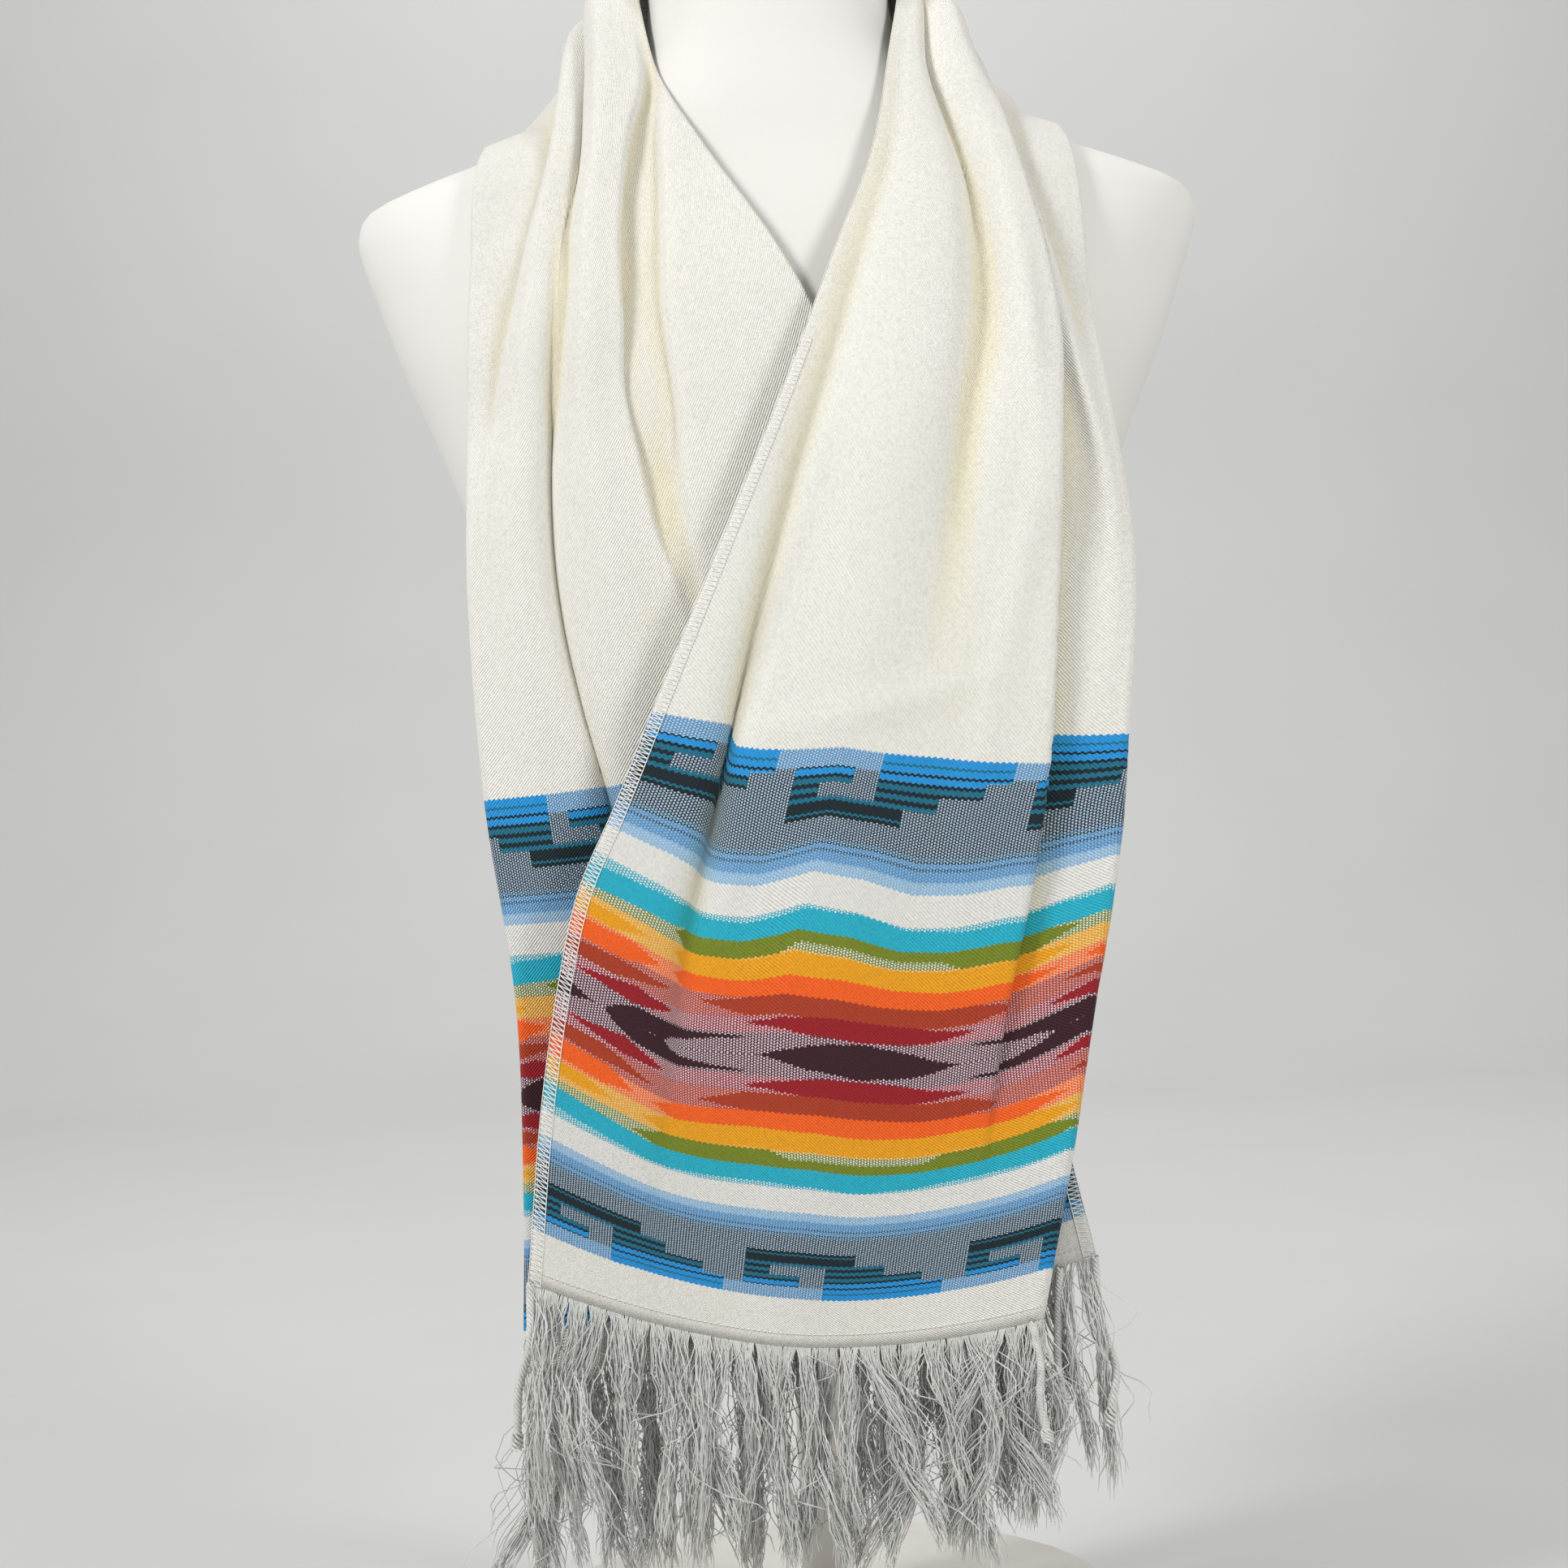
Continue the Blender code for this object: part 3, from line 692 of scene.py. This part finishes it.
# Each figure of the chart: its colour, then its lower and upper outline as points of
# distance from the middle of the cloth and height from the middle of the bands.
Figure = namedtuple("Figure", "colour low high")
FIGURES = (
    Figure(TURQUOISE,
        ((0, 53), (45, 52.3), (90, 52), (140, 48)),
        ((0, 63), (45, 60.4), (90, 62), (140, 58))),
    Figure(OLIVE,
        ((0, 48), (28, 48), (36, 44), (85, 44), (101, 49), (140, 49)),
        ((0, 53), (45, 52.3), (90, 52), (101, 49), (140, 49))),
    Figure(YELLOW,
        ((0, 35), (45, 33.3), (80, 35), (99, 40), (110, 40), (125, 35), (140, 35)),
        ((0, 44), (45, 43.2), (80, 44), (99, 40), (110, 40), (125, 42), (140, 41))),
    Figure(ORANGE,
        ((0, 26), (45, 25.7), (75, 27), (94, 31), (102, 31), (115, 25), (140, 24)),
        ((0, 35), (45, 33.3), (75, 35), (94, 31), (102, 31), (115, 34), (140, 33))),
    Figure(RUST,
        ((0, 18), (44, 17), (65, 23), (94, 23), (120, 16), (140, 16)),
        ((0, 26), (44, 25.7), (65, 23), (94, 23), (120, 24), (140, 22))),
    Figure(CRIMSON,
        ((0, 8.5), (20, 9.5), (47, 14), (87, 14), (110, 8), (135, 11), (140, 11)),
        ((0, 18), (20, 17.5), (47, 14), (87, 14), (110, 16), (135, 11), (140, 11))),
    Figure(MAROON,
        ((0, -3), (41.5, -3), (44, 8), (45, 7.4), (60, 6), (75, 3.6), (85, 2.4), (94, -1), (98, -3),
            (140, -3)),
        ((0, 8), (20, 5.4), (41.5, -0.5), (44, -0.5), (45, 8.1), (60, 8.2), (75, 8.5), (95, 8.3), (108, 7.4),
            (116, 4), (121, -0.5), (126, -0.5), (140, 4.5))),
)

# The ground between the figures is woven of two colours in dots. Each row starts at its
# height and lasts to the next.
Ground = namedtuple("Ground", "start dots between")
GROUNDS = (
    Ground(0, LILAC, PLUM),
    Ground(9, LILAC, CRIMSON),
    Ground(16, PINK, RUST),
    Ground(26, PALE_ORANGE, ORANGE),
    Ground(35, PALE_YELLOW, YELLOW),
    Ground(44, WHITE, OLIVE),
    Ground(53, WHITE, TURQUOISE),
    Ground(63, WHITE, WHITE),
    Ground(76.5, PALE_SKY, SKY),
    Ground(80, SKY, SKY),
    Ground(81, SKY, BLUE),
    Ground(85, SKY, INK),
    Ground(86, SKY, BLUE),
    Ground(88, PALE_SKY, INK),
    Ground(89.5, SKY, SLATE),
    Ground(91, PALE, NIGHT),
    Ground(123.5, PALE_SKY, BLUE),
    Ground(BAND_TOP, CREAM, CREAM),
)

# The stepped hooks: how wide the figure is at each depth from the outer edge of the bands
HOOK_WIDTHS = ((0, 86), (10, 76), (17, 60), (23.5, 46), (31.5, 0))
# What is cut out of them: from where to where across the cloth, and then in depth
HOOK_NOTCHES = ((24, 34, 8, 22), (10, 34, 15.5, 22), (-1, 34, -1, 8))
# Stripes of the hooks, from the outer edge inwards, and the depth that their colours are spread over
HOOK_END = 40
HOOK_STRIPES = (
    (0, AZURE), (3.6, TEAL), (4.6, AZURE), (7.6, INK), (8.6, AZURE), (11.6, INK), (13, TEAL), (15.6, INK),
    (17.4, TEAL), (19.6, INK), (21.6, TEAL), (23.6, INK), (28.6, TEAL), (29.6, INK),
)

# Plain surfaces: two close shades in soft patches of a noise, and a fine grain of another noise
# with its strength and its depth in metres. A noise has its scale and its detail.
Finish = namedtuple("Finish", "roughness sheen first second patches grain strength depth")
FINISHES = {
    # On both yarns the first, darker shade is a painted shadow, laid in soft patches
    "fringe_yarn": Finish(
        0.75, 0.3, linear(196, 196, 190), linear(240, 240, 236), (260, 2), (2500, 1), 0.4, 0.0002),
    "stitch_yarn": Finish(
        0.75, 0.3, linear(226, 224, 218), linear(246, 245, 241), (260, 2), (2500, 1), 0.4, 0.0002),
    "form_cover": Finish(
        0.7, 0.1, linear(220, 218, 212), linear(230, 228, 223), (6, 4), (1400, 3), 0.25, 0.0003),
    "painted_metal": Finish(
        0.4, 0, linear(196, 192, 184), linear(214, 211, 204), (40, 5), (700, 2), 0.1, 0.0002),
    "floor": Finish(
        0.9, 0, linear(205, 205, 203), linear(212, 212, 210), (3, 2), None, 0, 0),
}


def mixed(tree, amount, first, second, blend="MIX"):
    """The second colour where the amount is 1, the first where it is 0."""
    node = tree.nodes.new("ShaderNodeMix")
    node.data_type = "RGBA"
    node.blend_type = blend
    for socket, value in ((node.inputs[0], amount), (node.inputs[6], first), (node.inputs[7], second)):
        if isinstance(value, Number):
            tree.links.new(value.socket, socket)
        elif isinstance(value, bpy.types.NodeSocket):
            tree.links.new(value, socket)
        elif isinstance(value, tuple):
            socket.default_value = (*value, 1)
        else:
            socket.default_value = value
    return node.outputs[2]


def read_attribute(tree, name):
    """A number kept at the points of the mesh."""
    node = tree.nodes.new("ShaderNodeAttribute")
    node.attribute_name = name
    return Number(tree, node.outputs["Fac"])


def hook_mask(place, depth):
    """1 inside the stepped hook figures. Place runs across the cloth and depth from the bands' outer edge."""
    inside = None
    for (start, wide), (stop, _) in zip(HOOK_WIDTHS, HOOK_WIDTHS[1:]):
        step = depth.between(start, stop) * (place < wide)
        inside = step if inside is None else inside.most(step)
    for left, right, outer, inner in HOOK_NOTCHES:
        notch = place.between(left, right) * depth.between(outer, inner)
        inside = inside * (notch < 0.5)
    return inside


def band_colour(tree, across, height):
    """The colour of the woven pattern at a place on the cloth, in millimetres."""
    thread = ((across / THREAD).floor() + 0.5) * THREAD
    wave = (across * (math.pi / THREAD)).sin() * ROW_WAVE
    height = abs(height) + wave
    from_middle = abs(thread - HALF_WIDTH)
    rising = ((across / THREAD + height / THREAD) * math.pi).sin()
    falling = ((across / THREAD - height / THREAD) * math.pi).sin()
    is_dot = rising * falling > DOT_CUT
    light = height.ramp([(row.start, row.dots) for row in GROUNDS], 2 * BAND_TOP)
    dark = height.ramp([(row.start, row.between) for row in GROUNDS], 2 * BAND_TOP)
    colour = mixed(tree, is_dot, dark, light)
    for figure in FIGURES:
        low = from_middle.curve(figure.low, HALF_WIDTH, CHART_HEIGHT)
        high = from_middle.curve(figure.high, HALF_WIDTH, CHART_HEIGHT)
        colour = mixed(tree, height.between(low, high), colour, figure.colour)
    place = (thread - HOOK_START).repeat(HOOK_PITCH)
    depth = -(height - BAND_TOP)
    stripes = depth.ramp(HOOK_STRIPES, HOOK_END)
    return mixed(tree, hook_mask(place, depth), colour, stripes)


def new_material(name, roughness, sheen):
    """A node material with its tree and its shader."""
    made = bpy.data.materials.new(name)
    made.use_nodes = True
    shader = made.node_tree.nodes["Principled BSDF"]
    shader.inputs["Roughness"].default_value = roughness
    shader.inputs["Sheen Weight"].default_value = sheen
    return made, made.node_tree, shader


def noise(tree, scale, detail):
    """Soft noise that stays where it is on the object."""
    place = tree.nodes.new("ShaderNodeTexCoord")
    node = tree.nodes.new("ShaderNodeTexNoise")
    node.inputs["Scale"].default_value = scale
    node.inputs["Detail"].default_value = detail
    node.inputs["Roughness"].default_value = NOISE_ROUGHNESS
    tree.links.new(place.outputs["Object"], node.inputs["Vector"])
    return Number(tree, node.outputs["Fac"])


def bump(tree, shader, height, strength, distance):
    """Fine relief on a surface."""
    node = tree.nodes.new("ShaderNodeBump")
    node.inputs["Strength"].default_value = strength
    node.inputs["Distance"].default_value = distance
    tree.links.new(height.socket, node.inputs["Height"])
    tree.links.new(node.outputs["Normal"], shader.inputs["Normal"])


def cloth_material():
    """A fine cream twill with the woven bands near both ends, and painted shade in its folds."""
    made, tree, shader = new_material("woven_cloth", 0.85, 0.06)
    across = read_attribute(tree, "across")
    height = read_attribute(tree, "height")
    colour = band_colour(tree, across, height)
    # Painted shade: a yellowish darkening that grows with the depth of each fold
    hollow = read_attribute(tree, "hollow") * PAINTED_SHADE_IN_FOLDS
    painted_fold_shade = mixed(tree, hollow, (1, 1, 1), linear(248, 241, 212))
    colour = mixed(tree, 1.0, colour, painted_fold_shade, "MULTIPLY")
    slub = noise(tree, 700, 3).between_values(*SLUB_RANGE) * SLUB_SHADE
    colour = mixed(tree, slub, colour, linear(196, 190, 176), "MULTIPLY")
    tree.links.new(colour, shader.inputs["Base Color"])
    twill = ((across + height) * (2 * math.pi / TWILL_PITCH)).sin() * TWILL_RELIEF
    weave = twill + noise(tree, 1500, 2) * UNEVEN_RELIEF
    bump(tree, shader, weave, 0.8, 0.0004)
    return made


def plain_material(name):
    """A plain surface, by its row of the table."""
    finish = FINISHES[name]
    made, tree, shader = new_material(name, finish.roughness, finish.sheen)
    colour = mixed(tree, noise(tree, *finish.patches), finish.first, finish.second)
    tree.links.new(colour, shader.inputs["Base Color"])
    if finish.grain:
        bump(tree, shader, noise(tree, *finish.grain), finish.strength, finish.depth)
    return made


def make_scarf(surface):
    """The whole cloth as one thin shell, with the points of its middle."""
    along = np.linspace(0, CLOTH_LENGTH, SHEET_ROWS)
    points, across, woven_along = sheet_points(along, SHEET_COLUMNS)
    scarf = add_mesh("scarf", points, grid_faces(SHEET_ROWS, SHEET_COLUMNS), surface, "cloth")
    set_values(scarf.data, "across", across)
    set_values(scarf.data, "height", chart_height(woven_along))
    # The depth of each fold, which sets the painted shade in it
    set_values(scarf.data, "hollow", hollows(points))
    thick = scarf.modifiers.new("Wall", "SOLIDIFY")
    thick.thickness = SHEET_WALL
    thick.offset = 0
    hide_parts("scarf_right_fall", "scarf_neck_wrap", "scarf_left_fall")
    return scarf, points


def thread_mesh(lines, radii, sides=3, tip=0.3):
    """Points and faces of round threads along lines that all have the same number of points."""
    lines = np.asarray(lines)
    count, length = lines.shape[:2]
    forward = unit(np.gradient(lines, axis=1))
    flat = unit(np.cross(forward, THREAD_SIDE))
    upright = np.cross(forward, flat)
    angles = np.arange(sides) * 2 * math.pi / sides
    taper = np.ones(length)
    taper[-1] = tip
    size = np.broadcast_to(radii, (count,))[:, None] * taper
    ring = flat[:, :, None] * np.cos(angles)[:, None] + upright[:, :, None] * np.sin(angles)[:, None]
    points = lines[:, :, None] + size[:, :, None, None] * ring
    one = np.array(grid_faces(length, sides, closed=True))
    faces = (one[None] + (np.arange(count) * length * sides)[:, None, None]).reshape(-1, 4)
    return points.reshape(-1, 3), faces


def joined(meshes):
    """Points and faces of several meshes as one."""
    points = np.concatenate([part_points for part_points, _ in meshes])
    faces = []
    first = 0
    for part_points, part_faces in meshes:
        faces += (part_faces + first).tolist()
        first += len(part_points)
    return points, faces


def between_rows(values, low, part):
    """Values of a grid between each low row and the next one."""
    return values[low] * (1 - part) + values[low + 1] * part


def smooth_noise(random, count, length, waves):
    """Smooth uneven lines, one for each thread, that start at 0."""
    knots = random.normal(size=(count, waves + 1))
    knots[:, 0] = 0
    at = np.linspace(0, waves, length)
    low = np.minimum(at.astype(int), waves - 1)
    part = at - low
    part = part * part * (3 - 2 * part)
    return knots[:, low] * (1 - part) + knots[:, low + 1] * part


def at_hem(hem, places):
    """Points of the hem at places along it from 0 to 1."""
    spots = np.clip(places, 0, 1) * (len(hem) - 1)
    low = np.minimum(spots.astype(int), len(hem) - 2)
    return hem[low] + (hem[low + 1] - hem[low]) * (spots - low)[:, None]


def corner_tail(top, drift, length, random):
    """Yarns twisted into one thick tail that hangs from a corner of the hem."""
    down = np.linspace(0, 1, TAIL_STEPS)
    wander = TAIL_WANDER * smooth_noise(random, 2, TAIL_STEPS, TAIL_WAVES)
    lines = []
    for yarn in range(TAIL_YARNS):
        turn = 2 * math.pi * (TAIL_TURNS * down + yarn / TAIL_YARNS)
        spread = TAIL_RADIUS * np.where(down > TAIL_KNOT_FROM, TAIL_KNOT_SPREAD, 1.0)
        line = np.empty((TAIL_STEPS, 3))
        line[:, 0] = top[0] + drift[0] * down + wander[0] + spread * np.cos(turn)
        line[:, 1] = top[1] + drift[1] * down + wander[1] + spread * np.sin(turn)
        line[:, 2] = top[2] - length * down
        lines.append(line)
    return thread_mesh(lines, TAIL_YARN_RADIUS, sides=4)


def make_fringe(name, node, hem, seed, surface, tails):
    """The yarn fringe of one hem. The hem is the last row of the sheet's points at that end."""
    random = np.random.default_rng(seed)
    count = LOCKS * YARNS_PER_LOCK
    lock = np.repeat(np.arange(LOCKS), YARNS_PER_LOCK)
    own = random.uniform(0, 1, count)
    root = at_hem(hem, (lock + own) / LOCKS)
    jitter = random.uniform(-LOCK_JITTER, LOCK_JITTER, LOCKS)
    lock_root = at_hem(hem, (np.arange(LOCKS) + 0.5 + jitter) / LOCKS)
    down = np.linspace(0, 1, YARN_STEPS)
    lock_length = FRINGE_LENGTH * random.uniform(*LOCK_LENGTHS, LOCKS)
    length = lock_length[lock] * random.uniform(*YARN_LENGTHS, count)
    length *= np.where(random.uniform(0, 1, count) < SHORT_YARNS, SHORT_YARN_LENGTH, 1.0)
    gather = GATHER * np.minimum(1, down * GATHER_RATE) ** GATHER_POWER
    gather -= OPEN_AGAIN * np.maximum(0, down - OPEN_FROM)
    pair = np.repeat(random.normal(size=(LOCKS + 2) // 2), 2)[:LOCKS]
    lock_wave = LOCK_WANDER * smooth_noise(random, LOCKS, YARN_STEPS, LOCK_WAVES)
    lock_wave += LOCK_LEAN * pair[:, None] * down
    lock_depth = LOCK_DEPTH * smooth_noise(random, LOCKS, YARN_STEPS, LOCK_DEPTH_WAVES)
    stray = random.uniform(0, 1, count) < STRAY_YARNS
    wander = np.where(stray, STRAY_WANDER, YARN_WANDER)[:, None]
    own_wave = wander * smooth_noise(random, count, YARN_STEPS, YARN_WAVES)
    depth = np.where(stray, STRAY_DEPTH, YARN_DEPTH)[:, None]
    own_depth = depth * smooth_noise(random, count, YARN_STEPS, YARN_WAVES)
    waves = random.uniform(*CRIMP_WAVES, count)[:, None]
    crimp = CRIMP * np.sin(down * waves + random.uniform(*CRIMP_PHASES, count)[:, None])
    across = lock_root[lock] - root
    lines = np.empty((count, YARN_STEPS, 3))
    lines[..., 0] = root[:, None, 0] + across[:, None, 0] * gather + lock_wave[lock] + own_wave + crimp
    lines[..., 1] = root[:, None, 1] + across[:, None, 1] * gather + lock_depth[lock] + own_depth
    lines[..., 2] = root[:, None, 2] - length[:, None] * down + across[:, None, 2] * gather * GATHER_RISE
    lines[stray, :, 2] += STRAY_LOOP * np.abs(np.sin(down * STRAY_LOOP_WAVES)) * down
    meshes = [thread_mesh(lines, random.uniform(*YARN_RADII, count))]
    for place, drift, tail_length in tails:
        meshes.append(corner_tail(at_hem(hem, np.array([place]))[0], drift, tail_length, random))
    fringe = add_mesh(name, *joined(meshes), surface, "yarn")
    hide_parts(node)
    return fringe


def make_overlock(points, surface):
    """White overlock stitches along both selvedges, on both faces of the cloth."""
    normals = sheet_normals(points)
    rows = np.linspace(0, len(points) - 1.001, int(CLOTH_LENGTH / STITCH_PITCH))
    low = rows.astype(int)
    part = (rows - low)[:, None]
    share = rows / len(points)
    tucked = (share > TUCKED_FROM) & (share < TUCKED_TO)
    crossings = []
    long_threads = []
    for edge, inner, may_tuck in ((0, STITCH_COLUMNS, True), (-1, -1 - STITCH_COLUMNS, False)):
        seam = between_rows(points[:, inner], low, part)
        rim = between_rows(points[:, edge], low, part)
        rim = rim + (rim - seam) * STITCH_PAST_EDGE
        outwards = between_rows(normals[:, inner], low, part)
        for side in (1, -1):
            shown = ~(tucked & may_tuck & (side == 1))
            off = outwards * side * (SHEET_WALL / 2 + STITCH_RADIUS * STITCH_SUNK)
            seam_side = seam + off
            rim_side = rim + off * STITCH_AT_RIM
            crossings.append(np.stack([rim_side, seam_side], axis=1)[shown])
            crossings.append(np.stack([seam_side[:-1], rim_side[1:]], axis=1)[shown[:-1]])
            for stretch in np.split(np.arange(len(rows)), np.flatnonzero(np.diff(shown)) + 1):
                if shown[stretch[0]]:
                    long_threads += [seam_side[stretch], rim_side[stretch]]
    meshes = [thread_mesh(np.concatenate(crossings), STITCH_RADIUS, sides=4, tip=1.0)]
    meshes += [thread_mesh([thread], STITCH_RADIUS, tip=0.4) for thread in long_threads]
    return add_mesh("overlock_stitches", *joined(meshes), surface, "yarn")


def make_hem_stitches(points, surface):
    """A row of short stitches above each hem, on both faces of the cloth."""
    normals = sheet_normals(points)
    offset = HEM_STITCH_HEIGHT / (CLOTH_LENGTH / (SHEET_ROWS - 1))
    part = offset - int(offset)
    stitch = np.arange(HEM_STITCHES)[:, None]
    ends = (np.array([0.0, 0.5, 1.0]) * HEM_STITCH_SHARE + stitch) / HEM_STITCHES * (SHEET_COLUMNS - 1)
    first = np.minimum(ends.astype(int), SHEET_COLUMNS - 2)
    share = (ends - first)[..., None]
    rows = []
    for start, step in ((0, 1), (SHEET_ROWS - 1, -1)):
        low = start + step * int(offset)
        row = points[low] * (1 - part) + points[low + step] * part
        for side in (1, -1):
            raised = row + normals[low] * side * (SHEET_WALL / 2 + HEM_STITCH_LIFT)
            rows.append(between_rows(raised, first, share))
    mesh = thread_mesh(np.concatenate(rows), HEM_STITCH_RADIUS)
    return add_mesh("hem_stitches", *joined([mesh]), surface, "yarn")


def make_form(surface):
    """The form's smooth outside, between the heights of its solid."""
    low = FORM_SECTIONS[0].height * MM
    high = FORM_SECTIONS[-1].height * MM
    heights = np.linspace(low, high, FORM_RINGS)
    wide, front, back = form_sizes(heights)
    angles = np.arange(FORM_SIDES) * 2 * math.pi / FORM_SIDES
    x = np.copysign(np.abs(np.cos(angles)) ** (2 / FORM_ROUNDNESS), np.cos(angles))
    y = np.copysign(np.abs(np.sin(angles)) ** (2 / FORM_ROUNDNESS), np.sin(angles))
    points = np.empty((FORM_RINGS, FORM_SIDES, 3))
    points[..., 0] = wide[:, None] * x
    points[..., 1] = np.where(y > 0, back[:, None], front[:, None]) * y
    points[..., 2] = heights[:, None]
    faces = grid_faces(FORM_RINGS, FORM_SIDES, closed=True)
    faces.append(tuple(range(FORM_SIDES))[::-1])
    faces.append(tuple(range((FORM_RINGS - 1) * FORM_SIDES, FORM_RINGS * FORM_SIDES)))
    form = add_mesh("form_body", points, faces, surface, "form_cover")
    form.data.set_sharp_from_angle(angle=math.radians(FORM_SHARP_FROM))
    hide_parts("dress_form")


def make_floor():
    """A plain pale floor that curves up into a backdrop."""
    profile = [(FLOOR_FRONT, 0.0), (CURVE_FROM, 0.0)]
    for angle in np.linspace(CURVE_START, math.pi / 2, CURVE_STEPS):
        profile.append((CURVE_FROM + CURVE_RADIUS * math.sin(angle), CURVE_RADIUS * (1 - math.cos(angle))))
    profile.append((CURVE_FROM + CURVE_RADIUS, BACKDROP_TOP))
    points = [(x, y, z) for y, z in profile for x in (-FLOOR_HALF_WIDTH, FLOOR_HALF_WIDTH)]
    mesh = bpy.data.meshes.new("floor")
    mesh.from_pydata(points, [], grid_faces(len(profile), 2))
    mesh.shade_smooth()
    mesh.materials.append(plain_material("floor"))
    floor = bpy.data.objects.new("floor", mesh)
    bpy.context.scene.collection.objects.link(floor)


def add_light(name, place, aim, size, power):
    """A soft round lamp at a place, turned to what it is aimed at."""
    data = bpy.data.lights.new(name, "AREA")
    data.shape = "DISK"
    data.size = size
    data.energy = power
    light = bpy.data.objects.new(name, data)
    bpy.context.scene.collection.objects.link(light)
    light.location = place
    direction = np.array(aim) - np.array(place)
    light.rotation_euler = (
        math.atan2(math.hypot(direction[0], direction[1]), -direction[2]),
        0,
        math.atan2(direction[0], -direction[1]) + math.pi,
    )


def light_and_camera():
    """Soft light from both sides, a lit backdrop, and the photo's view."""
    scene = bpy.context.scene
    scene.view_settings.view_transform = "Standard"
    world = bpy.data.worlds.new("studio")
    world.use_nodes = True
    background = world.node_tree.nodes["Background"]
    background.inputs["Color"].default_value = (1, 1, 1, 1)
    background.inputs["Strength"].default_value = WORLD_LIGHT
    scene.world = world
    for lamp in LAMPS:
        add_light(*lamp)
    camera = bpy.data.cameras.new("camera")
    camera.lens = LENS
    camera.sensor_width = SENSOR_WIDTH
    view = bpy.data.objects.new("camera", camera)
    scene.collection.objects.link(view)
    view.location = CAMERA_PLACE
    view.rotation_euler = (math.radians(90), math.radians(CAMERA_ROLL), 0)
    scene.camera = view


cloth = cloth_material()
fringe_yarn = plain_material("fringe_yarn")
stitch_yarn = plain_material("stitch_yarn")
scarf, scarf_points = make_scarf(cloth)
right_fringe = make_fringe("fringe_right", "fringe_right_end", scarf_points[0], 11, fringe_yarn, RIGHT_TAILS)
left_fringe = make_fringe("fringe_left", "fringe_left_end", scarf_points[-1], 12, fringe_yarn, LEFT_TAILS)
overlock = make_overlock(scarf_points, stitch_yarn)
hem_stitches = make_hem_stitches(scarf_points, stitch_yarn)
make_form(plain_material("form_cover"))
paint = plain_material("painted_metal")
for node_name in ("neck_cap", "stand_pole", "stand_base"):
    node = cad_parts[node_name]
    node.data.materials.clear()
    node.data.materials.append(paint)
make_floor()
light_and_camera()
